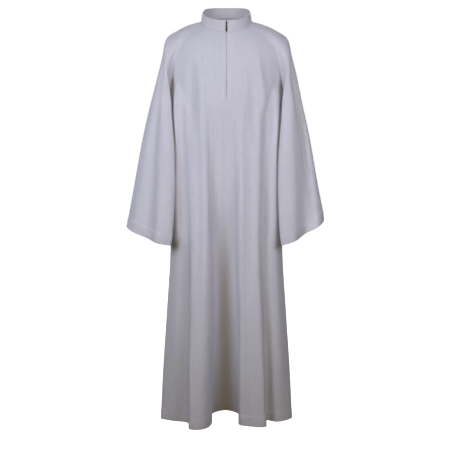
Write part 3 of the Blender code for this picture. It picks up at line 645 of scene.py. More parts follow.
@dataclass
class ClothGrid:
    """A sheet of cloth as a grid of points, with the place of each in the flat cloth."""

    points: Array
    thickness: Array
    closed: bool = False
    flip: bool = False
    slit_column: Optional[int] = None
    slit_foot: int = 0

    def normals(self) -> Array:
        """Outward directions."""
        return grid_normals(self.points, self.closed, self.flip)

    def sink(self, depth: Array) -> None:
        """Push every point into the robe by its own depth."""
        self.points = self.points - self.normals() * depth[..., None]

    def cloth_places(self) -> tuple[Array, Array]:
        """Metres across the cloth from its middle, and metres along it from the first row."""
        wrapped = self.points
        if self.closed:
            wrapped = np.concatenate([self.points, self.points[:, :1]], axis=1)
        across = np.linalg.norm(np.diff(wrapped, axis=1), axis=-1)
        u = np.concatenate([np.zeros((len(across), 1)), np.cumsum(across, axis=1)], axis=1)
        if not self.closed:
            u -= u[:, [u.shape[1] // 2]]
        along = np.linalg.norm(np.diff(wrapped, axis=0), axis=-1)
        v = np.concatenate([np.zeros((1, along.shape[1])), np.cumsum(along, axis=0)], axis=0)
        return u, v

    def faces(self) -> tuple[Array, Array]:
        """Quads of the outer sheet as point numbers, and as places in the wrapped grid."""
        rows, columns = self.points.shape[:2]
        span = columns if self.closed else columns - 1
        r, c = np.meshgrid(np.arange(rows - 1), np.arange(span), indexing="ij")
        if self.slit_column is not None:
            keep = ~((c == self.slit_column) & (r >= self.slit_foot))
            r, c = r[keep], c[keep]
        r, c = r.ravel(), c.ravel()
        corners = [(r, c), (r, c + 1), (r + 1, c + 1), (r + 1, c)]
        if self.flip:
            corners = corners[::-1]
        numbers = np.stack([cr * columns + cc % columns for cr, cc in corners], axis=-1)
        width = columns + 1 if self.closed else columns
        places = np.stack([cr * width + cc for cr, cc in corners], axis=-1)
        return numbers, places

    def build(self, name: str, collection: bpy.types.Collection) -> bpy.types.Object:
        """Make the closed shell: both sheets and the rims between them, with cloth places.

        Args:
            name: Name of the piece.
            collection: Collection that takes it.

        Returns:
            The piece.
        """
        count = self.points.shape[0] * self.points.shape[1]
        outer = self.points.reshape(-1, 3)
        inner = (self.points - self.normals() * self.thickness[..., None]).reshape(-1, 3)
        quads, places = self.faces()
        edges = np.concatenate([quads[:, [i, (i + 1) % 4]] for i in range(4)])
        spots = np.concatenate([places[:, [i, (i + 1) % 4]] for i in range(4)])
        forward = edges[:, 0] * count + edges[:, 1]
        lone = ~np.isin(forward, edges[:, 1] * count + edges[:, 0])
        a, b = edges[lone].T
        rims = np.stack([b, a, a + count, b + count], axis=-1)
        rim_places = spots[lone][:, [1, 0, 0, 1]]
        faces = np.concatenate([quads, quads[:, ::-1] + count, rims])
        u, v = self.cloth_places()
        uv = np.stack([u.ravel(), v.ravel()], axis=-1)
        corners = np.concatenate([places, places[:, ::-1], rim_places])
        verts = np.concatenate([outer, inner])
        piece = add_mesh(name, verts.tolist(), faces.tolist(), collection)
        layer = piece.data.uv_layers.new(name="cloth")
        layer.data.foreach_set("uv", uv[corners.ravel()].astype(np.float32).ravel())
        return piece

    def surface(self, rows: Array, columns: Array) -> tuple[Array, Array]:
        """Points and outward directions at places between the grid's rows and columns."""
        count = self.points.shape[1]
        r0 = np.clip(np.floor(rows).astype(int), 0, self.points.shape[0] - 2)
        fr = (rows - r0)[:, None]
        c0 = np.floor(columns).astype(int)
        if not self.closed:
            c0 = np.clip(c0, 0, count - 2)
        fc = (columns - c0)[:, None]
        found = []
        for source in (self.points, self.normals()):
            c1 = (c0 + 1) % count
            low, high = (source[r, c0 % count] * (1 - fc) + source[r, c1] * fc
                         for r in (r0, r0 + 1))
            found.append(low * (1 - fr) + high * fr)
        point, normal = found
        return point, normal / np.linalg.norm(normal, axis=-1, keepdims=True)


def fine_depth(places: Array, creases: Sequence[Crease], lines_round: int = 0) -> Array:
    """How far the listed creases push points in; a valley has a softer ridge on one side.

    Args:
        places: Each point's place, in the measures that its creases have.
        creases: The creases.
        lines_round: How many lines go round a closed form, or 0 on an open one.

    Returns:
        The depth at each point.
    """
    depth = np.zeros(places.shape[:2])
    for crease in creases:
        start = np.array((crease.top_across, crease.top_level))
        run = np.array((crease.low_across, crease.low_level)) - start
        offset = places - start
        if lines_round:
            half = lines_round / 2
            offset[..., 0] = (offset[..., 0] + half) % lines_round - half
        length = np.linalg.norm(run)
        t = np.clip(offset @ run / length**2, 0.0, 1.0)
        q = (offset[..., 0] * run[1] - offset[..., 1] * run[0]) / (length * crease.width)
        profile = np.exp(-q**2)
        if crease.depth > 0:
            profile -= SIDE_RIDGE * np.exp(-((q - SIDE_RIDGE_AT) / SIDE_RIDGE_WIDTH) ** 2)
        depth += crease.depth * profile * np.sin(math.pi * t) ** FINE_TAPER
    return depth


def hem_depth(up: Array, u: Array, ripple: float = 0.0) -> Array:
    """How far a hem's stitches draw the cloth in, with puckers; the turned band stands out."""
    line = np.exp(-((up - HEM_DEPTH) / HEM_LINE_WIDTH) ** 2)
    pucker = np.sin(u * 420.0) * np.sin(u * 97.0 + 1.0)
    band = soft_step(HEM_DEPTH - up, *HEM_BAND_EDGE)
    rise = HEM_BAND_RISE + ripple * np.sin(u * 61.0 + 0.4) * np.sin(u * 23.0)
    return line * (HEM_LINE_DEPTH + HEM_PUCKER * pucker) - band * rise


def add_mesh(name: str, verts: Sequence, faces: Sequence, collection: bpy.types.Collection,
             smooth: bool = True) -> bpy.types.Object:
    """A mesh object in a collection."""
    mesh = bpy.data.meshes.new(name)
    mesh.from_pydata(verts, [], faces)
    if smooth:
        mesh.shade_smooth()
    mesh.update()
    piece = bpy.data.objects.new(name, mesh)
    collection.objects.link(piece)
    return piece


@dataclass(frozen=True)
class StitchRow:
    """A row of machine stitches: thread sizes and how a row is laid on cloth."""

    thread: float = 0.00055
    pitch: float = 0.0040
    share: float = 0.72
    lift: float = 0.00025

    def mesh_data(self, line: Array, normals: Array) -> tuple[list, list]:
        """Small raised spindles along a line.

        Args:
            line: Points close together on the cloth.
            normals: The cloth's outward direction at each.

        Returns:
            Vertices and faces.
        """
        gaps = np.linalg.norm(np.diff(line, axis=0), axis=1)
        far = np.concatenate([[0.0], np.cumsum(gaps)])
        count = max(int(far[-1] / self.pitch), 1)
        starts = (np.arange(count) + 0.5) * far[-1] / count
        verts, faces = [], []
        for start in starts:
            half = self.pitch * self.share / 2
            spots = [start - half, start - half * 0.5, start + half * 0.5, start + half]
            at = [np.array([np.interp(s, far, line[:, k]) for k in range(3)]) for s in spots]
            out = np.array([np.interp(start, far, normals[:, k]) for k in range(3)])
            out /= np.linalg.norm(out)
            side = np.cross(at[-1] - at[0], out)
            side /= max(np.linalg.norm(side), 1e-9)
            base = len(verts)
            verts.append(at[0])
            for middle in at[1:3]:
                centre = middle + out * self.lift
                verts += [centre + side * self.thread, centre + out * self.thread,
                          centre - side * self.thread, centre - out * self.thread]
            verts.append(at[3])
            for k in range(4):
                n = (k + 1) % 4
                faces.append((base, base + 1 + n, base + 1 + k))
                faces.append((base + 1 + k, base + 1 + n, base + 5 + n, base + 5 + k))
                faces.append((base + 9, base + 5 + k, base + 5 + n))
        return [tuple(v) for v in verts], faces


@dataclass(frozen=True)
class NodeChain:
    """Short calls that add nodes to a shader tree and link them."""

    tree: bpy.types.NodeTree

    def node(self, kind: str, inputs: Optional[dict] = None,
             **settings: object) -> bpy.types.Node:
        """A node with some of its properties and inputs set."""
        node = self.tree.nodes.new(kind)
        for key, value in settings.items():
            setattr(node, key, value)
        self.feed(node, inputs or {})
        return node

    def feed(self, node: bpy.types.Node, inputs: dict) -> None:
        """Give a node's inputs values, or links from sockets."""
        for key, value in inputs.items():
            if isinstance(value, bpy.types.NodeSocket):
                self.tree.links.new(value, node.inputs[key])
            else:
                node.inputs[key].default_value = value

    def math(self, operation: str, *terms: object) -> bpy.types.NodeSocket:
        """A Math node; each term is a number or a socket."""
        return self.node("ShaderNodeMath", dict(enumerate(terms)), operation=operation).outputs[0]


def weave_group() -> bpy.types.NodeTree:
    """The slubby twill: uneven yarns both ways, the twill's diagonal, and soft mottling.

    Returns:
        The node group, which gives a colour, a height and a roughness.
    """
    tree = bpy.data.node_groups.new("slubby_twill", "ShaderNodeTree")
    for name, kind in (("Yarn Colour", "NodeSocketColor"), ("Shadow Colour", "NodeSocketColor"),
                       ("Yarns per Metre", "NodeSocketFloat"), ("Slub", "NodeSocketFloat"),
                       ("Mottling", "NodeSocketFloat"), ("Base Roughness", "NodeSocketFloat")):
        tree.interface.new_socket(name, in_out="INPUT", socket_type=kind)
    for name, kind in (("Colour", "NodeSocketColor"), ("Height", "NodeSocketFloat"),
                       ("Roughness", "NodeSocketFloat")):
        tree.interface.new_socket(name, in_out="OUTPUT", socket_type=kind)
    chain = NodeChain(tree)
    entry = chain.node("NodeGroupInput")
    leave = chain.node("NodeGroupOutput")
    cloth = chain.node("ShaderNodeUVMap", uv_map="cloth")
    split = chain.node("ShaderNodeSeparateXYZ", {0: cloth.outputs["UV"]})
    across, along = split.outputs[0], split.outputs[1]

    def yarns(scale_across: float, scale_along: float, offset: float) -> bpy.types.NodeSocket:
        """Noise stretched along one yarn direction, between 0 and 1."""
        place = chain.node("ShaderNodeCombineXYZ", {
            0: chain.math("MULTIPLY", across, scale_across),
            1: chain.math("MULTIPLY", along, scale_along), 2: offset})
        noise = chain.node("ShaderNodeTexNoise", {
            "Scale": 1.0, "Detail": 2.0, "Roughness": 0.6, "Vector": place.outputs[0]})
        return noise.outputs["Fac"]

    slubs = None
    for *noise, share in SLUB_NOISE:
        part = chain.math("MULTIPLY", yarns(*noise), share)
        slubs = part if slubs is None else chain.math("ADD", slubs, part)
    cloud = yarns(*MOTTLE_NOISE)
    turns = chain.math("MULTIPLY", entry.outputs["Yarns per Metre"], 2 * math.pi)
    diagonal = chain.math("SINE", chain.math("MULTIPLY", chain.math("ADD", across, along), turns))
    rib_turns = chain.math("MULTIPLY", across, chain.math("MULTIPLY", turns, 2.0))
    weave = chain.math("ADD", chain.math("MULTIPLY", diagonal, DIAGONAL_SHARE),
                       chain.math("MULTIPLY", chain.math("SINE", rib_turns), RIB_SHARE))
    uneven = chain.math("MULTIPLY", chain.math("SUBTRACT", slubs, 0.5), entry.outputs["Slub"])
    mottled = chain.math("MULTIPLY", chain.math("SUBTRACT", cloud, 0.5), entry.outputs["Mottling"])
    tone = chain.math("ADD", chain.math("MULTIPLY", uneven, SLUB_TONE), mottled)
    mix = chain.node("ShaderNodeMix", {
        "Factor": chain.math("ADD", tone, MEAN_TONE), "A": entry.outputs["Shadow Colour"],
        "B": entry.outputs["Yarn Colour"]}, data_type="RGBA")
    chain.feed(leave, {
        "Height": chain.math("ADD", chain.math("MULTIPLY", weave, WEAVE_HEIGHT), uneven),
        "Colour": mix.outputs["Result"],
        "Roughness": chain.math("ADD", entry.outputs["Base Roughness"],
                                chain.math("MULTIPLY", uneven, SLUB_SHINE))})
    return tree


def new_material(name: str) -> tuple[bpy.types.Material, NodeChain, bpy.types.Node]:
    """A material, the calls that add nodes to it, and its shader."""
    material = bpy.data.materials.new(name)
    material.use_nodes = True
    tree = material.node_tree
    return material, NodeChain(tree), tree.nodes["Principled BSDF"]


@dataclass(frozen=True)
class TwillFinish:
    """A matte woven cloth."""

    name: str
    yarn: tuple[float, float, float]
    shadow: tuple[float, float, float]
    yarns_per_metre: float = 900.0
    slub: float = 1.0
    mottling: float = 0.25
    roughness: float = 0.88
    bump: float = 0.5
    bump_distance: float = 0.0010
    sheen: float = 0.12

    def material(self, group: bpy.types.NodeTree) -> bpy.types.Material:
        """Make the material."""
        material, chain, shader = new_material(self.name)
        weave = chain.node("ShaderNodeGroup", {
            "Yarn Colour": (*self.yarn, 1.0), "Shadow Colour": (*self.shadow, 1.0),
            "Yarns per Metre": self.yarns_per_metre, "Slub": self.slub,
            "Mottling": self.mottling, "Base Roughness": self.roughness}, node_tree=group)
        bump = chain.node("ShaderNodeBump", {
            "Strength": self.bump, "Distance": self.bump_distance,
            "Height": weave.outputs["Height"]})
        chain.feed(shader, {
            "Base Color": weave.outputs["Colour"], "Roughness": weave.outputs["Roughness"],
            "Normal": bump.outputs["Normal"], "Specular IOR Level": 0.2,
            "Sheen Weight": self.sheen, "Sheen Roughness": 0.5})
        return material


@dataclass(frozen=True)
class MetalFinish:
    """Dark lacquered zip metal, worn brighter in spots."""

    name: str
    lacquer: tuple[float, float, float]
    bare: tuple[float, float, float]
    roughness: float

    def material(self) -> bpy.types.Material:
        """Make the material."""
        material, chain, shader = new_material(self.name)
        place = chain.node("ShaderNodeTexCoord")
        noise = chain.node("ShaderNodeTexNoise", {
            "Scale": 900.0, "Vector": place.outputs["Object"]})
        mix = chain.node("ShaderNodeMix", {
            "Factor": chain.math("MULTIPLY", noise.outputs["Fac"], 0.35),
            "A": (*self.lacquer, 1.0), "B": (*self.bare, 1.0)}, data_type="RGBA")
        chain.feed(shader, {"Base Color": mix.outputs["Result"], "Roughness": self.roughness,
                            "Metallic": 0.6})
        return material


@dataclass(frozen=True)
class Finishes:
    """The robe's materials, made once."""

    twill: bpy.types.Material
    thread: bpy.types.Material
    tape: bpy.types.Material
    metal: bpy.types.Material


def make_finishes() -> Finishes:
    """Make the robe's materials."""
    group = weave_group()
    twill = TwillFinish("off_white_twill", (0.735, 0.725, 0.765), (0.51, 0.50, 0.53))
    # Stitching thread: real white thread, made whiter than the cloth as painted highlight for the
    # light its raised rows catch
    thread = TwillFinish("stitching_thread_painted_highlight", (0.93, 0.92, 0.96), (0.80, 0.79, 0.83), bump=0.1)
    # Zip tape and coil: grey rather than white, as painted shade that darkens the narrow slits
    # where the zip shows
    tape = TwillFinish("zip_tape_weave", (0.55, 0.54, 0.58), (0.42, 0.41, 0.45),
                       yarns_per_metre=1500.0)
    metal = MetalFinish("dark_bronze_lacquer", (0.022, 0.012, 0.010), (0.10, 0.06, 0.045), 0.38)
    return Finishes(twill.material(group), thread.material(group), tape.material(group),
                    metal.material())


def dress(piece: bpy.types.Object, material: bpy.types.Material,
          body: str = ROBE_BODY) -> None:
    """Give a piece its material and the body that it rides on."""
    piece.data.materials.clear()
    piece.data.materials.append(material)
    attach(piece, body)


@dataclass(frozen=True)
class Workshop:
    """Makes the robe's cloth and stitching in one collection and dresses it."""

    collection: bpy.types.Collection
    finishes: Finishes

    def cloth(self, grid: ClothGrid, name: str, node: str,
              slot: str = "alb_twill") -> bpy.types.Object:
        """The shell of a sheet, in place of its solid."""
        piece = grid.build(name, self.collection)
        dress(piece, self.finishes.twill)
        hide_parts(node)
        LOG.info("%s: %d faces", piece.name, len(piece.data.polygons))
        return piece

    def stitches(self, name: str, lines: Sequence[tuple[Array, Array]],
                 stitch: StitchRow = StitchRow()) -> bpy.types.Object:
        """One piece that holds several rows of stitches."""
        verts: list = []
        faces: list = []
        for line, normals in lines:
            more, corners = stitch.mesh_data(line, normals)
            faces += [tuple(i + len(verts) for i in face) for face in corners]
            verts += more
        piece = add_mesh(name, verts, faces, self.collection)
        dress(piece, self.finishes.thread)
        return piece


@dataclass
class BodyPanelShell:
    """A body panel's shell with its hem and stitches."""

    name: str
    node: str
    form: BodyForm
    fine: Sequence[Crease]
    steps: int
    rows_below: int = 110
    flat_width: float = 0.92
    flat_length: float = 1.50
    flat_area: float = 0.89
    with_slit: bool = False
    grid: ClothGrid = field(init=False)

    def columns(self) -> Array:
        """Places across, counted in fold lines, closer together beside the zip."""
        counts = [self.steps] * (len(self.form.folds) - 1)
        places = spread_evenly(counts)
        if not self.with_slit:
            return places
        centre = [fold.chest_x for fold in self.form.folds].index(0.0)
        places = places[np.abs(places - centre) > ZIP_COLUMNS_FROM]
        around = [*(centre - ZIP_COLUMNS), centre, centre, *(centre + ZIP_COLUMNS)]
        return np.sort(np.concatenate([places, around]))

    def shape(self) -> None:
        """Work out the grid: the form, then creases, the hem and the zip's slit."""
        heights = np.concatenate([
            np.linspace(-LENGTH, HEM_DEPTH - LENGTH, HEM_ROWS + 1)[:-1],
            np.linspace(HEM_DEPTH - LENGTH, UNDERARM_Z, self.rows_below)[:-1],
        ])
        seam = spread_evenly([SEAM_STEPS] * FRONT_NECK)
        columns = self.columns()
        points = self.form.grid(heights, seam, columns)
        thickness = np.full(points.shape[:2], CLOTH)
        thickness[:HEM_ROWS] = TURNED_CLOTH
        self.grid = ClothGrid(points, thickness)
        depth = fine_depth(points[..., [0, 2]], self.fine) + self.drift(points)
        fade = self.edge_fade(*points.shape[:2])
        if self.with_slit:
            points[..., 1] -= self.flank_rise(points) * fade
        self.grid.sink(depth * fade)
        u, v = self.grid.cloth_places()
        self.grid.sink(hem_depth(v, u, HEM_RIPPLE))
        if self.with_slit:
            self.open_slit(columns)

    @staticmethod
    def flank_rise(points: Array) -> Array:
        """How far the front's flanks come forward where they lie against the sleeves."""
        far = (np.abs(points[..., 0]) - FLANK_X) / FLANK_REACH
        z = points[..., 2]
        beside_sleeve = soft_step(-z, *FLANK_TOP) * (1 - soft_step(-z, *FLANK_FOOT))
        most = np.where(points[..., 0] < 0, FLANK_RISE_RIGHT, FLANK_RISE_LEFT)
        return most * np.exp(-far**2) * beside_sleeve

    @staticmethod
    def drift(points: Array) -> Array:
        """The cloth's slight unevenness, a millimetre or so."""
        x, z = points[..., 0], points[..., 2]
        slow = np.sin(31.0 * x + 4.3 * z + 0.7) * np.sin(9.0 * z + 2.1 + 5.0 * x)
        quick = np.sin(83.0 * x - 7.0 * z + 1.9) * np.sin(17.0 * z - 23.0 * x)
        return SLOW_DRIFT * slow + QUICK_DRIFT * quick

    @staticmethod
    def edge_fade(rows: int, columns: int) -> Array:
        """1 over the panel, and 0 at the sides, the raglan seams and the neckline."""
        c = np.arange(columns)
        across = soft_step(np.minimum(c, columns - 1 - c).astype(float), 0.0, FADE_COLUMNS)
        up = soft_step(np.arange(rows)[::-1].astype(float), 0.0, FADE_ROWS)
        return up[:, None] * across[None, :]

    def open_slit(self, columns: Array) -> None:
        """Part the two middle columns above the zip's foot and roll their edges in."""
        centre = int(np.argmax(np.diff(columns) == 0.0))
        points = self.grid.points
        z = points[:, centre, 2]
        open_share = soft_step(z, ZIP_FOOT_Z, ZIP_FOOT_Z + SLIT_OPENS_OVER)
        gap = SLIT_CLOSED_GAP + SLIT_OPEN_GAP * open_share
        points[:, centre, 0] -= gap
        points[:, centre + 1, 0] += gap
        middle_x = (points[:, centre, 0] + points[:, centre + 1, 0]) / 2
        away = np.abs(points[..., 0] - middle_x[:, None])
        roll = np.exp(-(away / SLIT_ROLL_REACH) ** 2) * SLIT_ROLL * open_share[:, None]
        points[..., 1] += roll
        self.grid.slit_column = centre
        self.grid.slit_foot = int(np.argmax(z > ZIP_FOOT_Z + SLIT_FACES_ABOVE))

    def build(self, shop: Workshop) -> None:
        self.shape()
        piece = shop.cloth(self.grid, self.name, self.node)
        count = self.grid.points.shape[1]
        across = np.linspace(0.0, count - 1.0, LINE_SAMPLES * count)
        line = self.grid.surface(np.full(len(across), float(HEM_ROWS)), across)
        hem = shop.stitches(f"{self.name}_hem_stitches", [line])


@dataclass
class SleeveShell:
    """A sleeve's shell with its hem and seam stitches."""

    name: str
    node: str
    form: SleeveForm
    steps_around: int = 13
    steps_down: int = 12
    lap: float = 0.0045
    lap_rise: float = 0.0009
    lap_rows: int = 4
    lap_least: float = 0.0002
    lap_profile: Sequence[float] = (0.35, 0.9, 1.0, 1.0, 0.7)
    lap_begins: tuple[float, float] = (0.15, 0.8)
    lap_ends: tuple[float, float] = (4.7, 5.0)
    stitched: Sequence[tuple[float, float]] = ((0.8, 4.75), (7.25, 11.2))
    seam_samples: int = 500
    hem_steps: int = 14
    seam_fade: float = 0.8
    flat_width: float = 0.66
    flat_length: float = 0.82
    flat_area: float = 0.36
    grid: ClothGrid = field(init=False)

    def shape(self) -> None:
        """Work out the grid: the form, then creases, the hem and the lapped seam."""
        down = spread_evenly([self.steps_down] * (len(STATIONS) - 1) + [self.hem_steps])
        around = spread_evenly([self.steps_around] * len(SLEEVE_LINES))[:-1]
        points = self.form.grid(down, around)
        thickness = np.full(points.shape[:2], CLOTH)
        thickness[down >= len(STATIONS) - 1] = TURNED_CLOTH
        self.grid = ClothGrid(points, thickness, closed=True, flip=self.form.side is Side.LEFT)
        places = np.stack(np.broadcast_arrays(around[None, :], down[:, None]), -1)
        creases = [*SLEEVE_FINE, *SLEEVE_DEEP[self.form.side]]
        depth = fine_depth(places, creases, len(SLEEVE_LINES))
        fade = soft_step(down, 0.0, self.seam_fade)
        drift = SLEEVE_DRIFT * np.sin(2.1 * around[None, :] + 1.7 * down[:, None])
        self.grid.sink((depth + drift) * fade[:, None])
        self.grid.sink(hem_depth(*self.from_cuff()))
        self.lap_over(around)

    def lap_over(self, around: Array) -> None:
        """Carry the sleeve's edge over the body's, as a felled seam does."""
        seam, count = self.grid.points[0], len(ARMHOLE)
        towards, out = np.zeros_like(seam), self.grid.normals()[0]
        for i, place in enumerate(around):
            form, at = (FRONT_FORM, place) if place <= count / 2 else (BACK_FORM, count - place)
            last = len(form.folds) - 1
            at_end = (form is FRONT_FORM) == (self.form.side is Side.LEFT)
            columns = np.array([last - 0.1, last] if at_end else [0.0, 0.1])
            row = form.row(form.seam_level(min(at, FRONT_NECK)), columns)
            towards[i] = (row[0] - row[1]) * (1.0 if at_end else -1.0)
        towards /= np.linalg.norm(towards, axis=1, keepdims=True)
        along = np.roll(seam, -1, axis=0) - np.roll(seam, 1, axis=0)
        rise = np.cross(along, towards)
        rise *= np.sign((rise * out).sum(axis=1))[:, None] / np.linalg.norm(
            rise, axis=1, keepdims=True)
        from_arm = np.minimum(around, count - around)
        share = soft_step(from_arm, *self.lap_begins) * (1 - soft_step(from_arm, *self.lap_ends))
        reach = (self.lap_least + self.lap * share)[:, None]
        height = (self.lap_rise * share)[:, None]
        rows = []
        for far, up in zip(np.linspace(1.0, 0.0, self.lap_rows + 1), self.lap_profile):
            rows.append(seam + towards * reach * far + rise * height * up)
        self.grid.points = np.concatenate([rows, self.grid.points[1:]])
        self.grid.thickness = np.concatenate(
            [np.repeat(self.grid.thickness[:1], self.lap_rows, axis=0), self.grid.thickness])

    def seam_lines(self) -> list[tuple[Array, Array]]:
        """The lines of stitches on the lap, down the front seam and down the back one."""
        columns = self.grid.points.shape[1]
        lines = []
        for first, last in self.stitched:
            at = np.linspace(first, last, self.seam_samples) * columns / len(ARMHOLE)
            lines.append(self.grid.surface(np.full(len(at), self.lap_rows / 2), at))
        return lines

    def from_cuff(self) -> tuple[Array, Array]:
        """Metres up from the cuff's edge and round the cloth, at each point."""
        u, v = self.grid.cloth_places()
        return (v[-1:] - v)[:, :-1], u[:, :-1]

    def hem_line(self) -> tuple[Array, Array]:
        """The line of stitches round the cuff."""
        up, _ = self.from_cuff()
        rows = [np.interp(-HEM_DEPTH, -column, np.arange(len(up))) for column in up.T]
        count = len(rows)
        at = np.linspace(0.0, count, LINE_SAMPLES * count)
        return self.grid.surface(np.interp(at, np.arange(count + 1), [*rows, rows[0]]), at)

    def build(self, shop: Workshop) -> None:
        self.shape()
        piece = shop.cloth(self.grid, self.name, self.node)
        hem = shop.stitches(f"{self.name}_hem_stitches", [self.hem_line()])
        seam = shop.stitches(f"{self.name}_seam_stitches", self.seam_lines(),
                             StitchRow(thread=0.0004))


@dataclass
class CollarShell:
    """The band collar."""

    front: ClothGrid
    back: ClothGrid
    slit: int
    top_half_width: float = 0.082
    top_front_y: float = -0.075
    top_back_y: float = 0.060
    bow: float = 0.0004
    end_top: float = 0.0026
    end_foot: float = 0.0036
    top_z: Sequence[tuple[float, float]] = (
        (0.0, 0.006), (45.0, 0.0135), (90.0, 0.032), (112.0, 0.0415), (135.0, 0.0455),
        (180.0, 0.047))
    rows: int = 18
    foot_dip: float = 0.0004
    foot_dip_height: float = 0.0022
    top_roll: float = 0.0008
    top_roll_height: float = 0.0016
    wave: float = 0.0007
    laps: Sequence[float] = (0.0026, 0.0013)
    lap_lift: float = 0.0005
    lap_out: float = 0.42
    lap_out_more: float = 0.5
    end_step: float = 0.0005
    end_columns: float = 2.0
    line_samples: int = 5
    top_stitches_below: float = 0.6
    foot_stitches_row: float = 3.7
    flat_width: float = 0.535
    flat_height: float = 0.043
    flat_area: float = 0.0206
    grid: ClothGrid = field(init=False)

    def neckline(self) -> Array:
        """The seam at the collar's foot, from its left front end round to its right."""
        seam = spread_evenly([SEAM_STEPS] * (BACK_NECK - FRONT_NECK)) + FRONT_NECK
        left = armhole_point(Side.LEFT, seam)
        right = armhole_point(Side.RIGHT, seam)[::-1]
        front, back = self.front.points[-1], self.back.points[-1]
        return np.concatenate([self.from_end(front[self.slit + 1:-1]), left, back[1:-1], right,
                               self.from_end(front[self.slit:0:-1])[::-1]])

    def from_end(self, row: Array) -> Array:
        """Half of the front neckline from the collar's end outward; the row starts at the slit."""
        far = np.abs(row[:, 0])
        end = np.array([np.interp(self.end_foot, far, row[:, k]) for k in range(3)])
        return np.concatenate([end[None], row[far > self.end_foot + self.end_step]])

    def shape(self) -> None:
        """Work out the band: foot, middle and top, with a soft roll along the top."""
        foot = self.neckline()
        top_y = (self.top_front_y + self.top_back_y) / 2
        reach = (self.top_back_y - self.top_front_y) / 2
        base_y = (foot[0][1] + foot[:, 1].max()) / 2
        turn = np.arctan2(np.abs(foot[:, 0]), base_y - foot[:, 1])
        side = np.sign(foot[:, 0])
        height = np.array([through(self.top_z, math.degrees(t))[0] for t in turn])
        first = math.sin(turn[0])
        from_end = np.clip((np.sin(turn) - first) / (1 - first), 0.0, 1.0)
        in_front = self.end_top + (self.top_half_width - self.end_top) * from_end
        x = side * np.where(np.cos(turn) > 0, in_front, self.top_half_width * np.sin(turn))
        top = np.stack([x, top_y - reach * np.cos(turn), height], axis=-1)
        outward = np.stack([side * np.sin(turn), -np.cos(turn), np.zeros(len(turn))], axis=-1)
        rows = []
        for share in np.linspace(0.0, 1.0, self.rows):
            bow = outward * self.bow * 4 * share * (1 - share)
            rows.append(foot + (top - foot) * share + bow)
        points = np.array(rows)
        self.grid = ClothGrid(points, np.full(points.shape[:2], COLLAR_CLOTH))
        u, v = self.grid.cloth_places()
        high = v[-1:]
        foot_line = np.exp(-(v / self.foot_dip_height) ** 2) * self.foot_dip
        top_roll = np.exp(-((high - v) / self.top_roll_height) ** 2) * self.top_roll
        wave = self.wave * np.sin(38.0 * u + 0.9) * np.sin(math.pi * v / high)
        self.grid.sink(foot_line + top_roll + wave)
        out = self.lap_out + self.lap_out_more * np.sin(turn) ** 2
        skirt = outward * out[:, None] - np.array((0.0, 0.0, 1.0)) * np.sqrt(1 - out**2)[:, None]
        laps = [self.grid.points[0] + skirt * far + outward * self.lap_lift for far in self.laps]
        self.grid.points = np.concatenate([laps, self.grid.points])
        self.grid.thickness = np.full(self.grid.points.shape[:2], COLLAR_CLOTH)

    def build(self, shop: Workshop) -> None:
        self.shape()
        piece = shop.cloth(self.grid, "collar_band", "collar", "collar_band")
        count = self.grid.points.shape[1]
        at = np.linspace(self.end_columns, count - 1.0 - self.end_columns,
                         self.line_samples * count)
        lines = [self.grid.surface(np.full(len(at), row), at)
                 for row in (self.rows - self.top_stitches_below, self.foot_stitches_row)]
        fine = StitchRow(thread=0.00028, pitch=0.0032, lift=0.0001)
        edge = shop.stitches("collar_stitches", lines, fine)


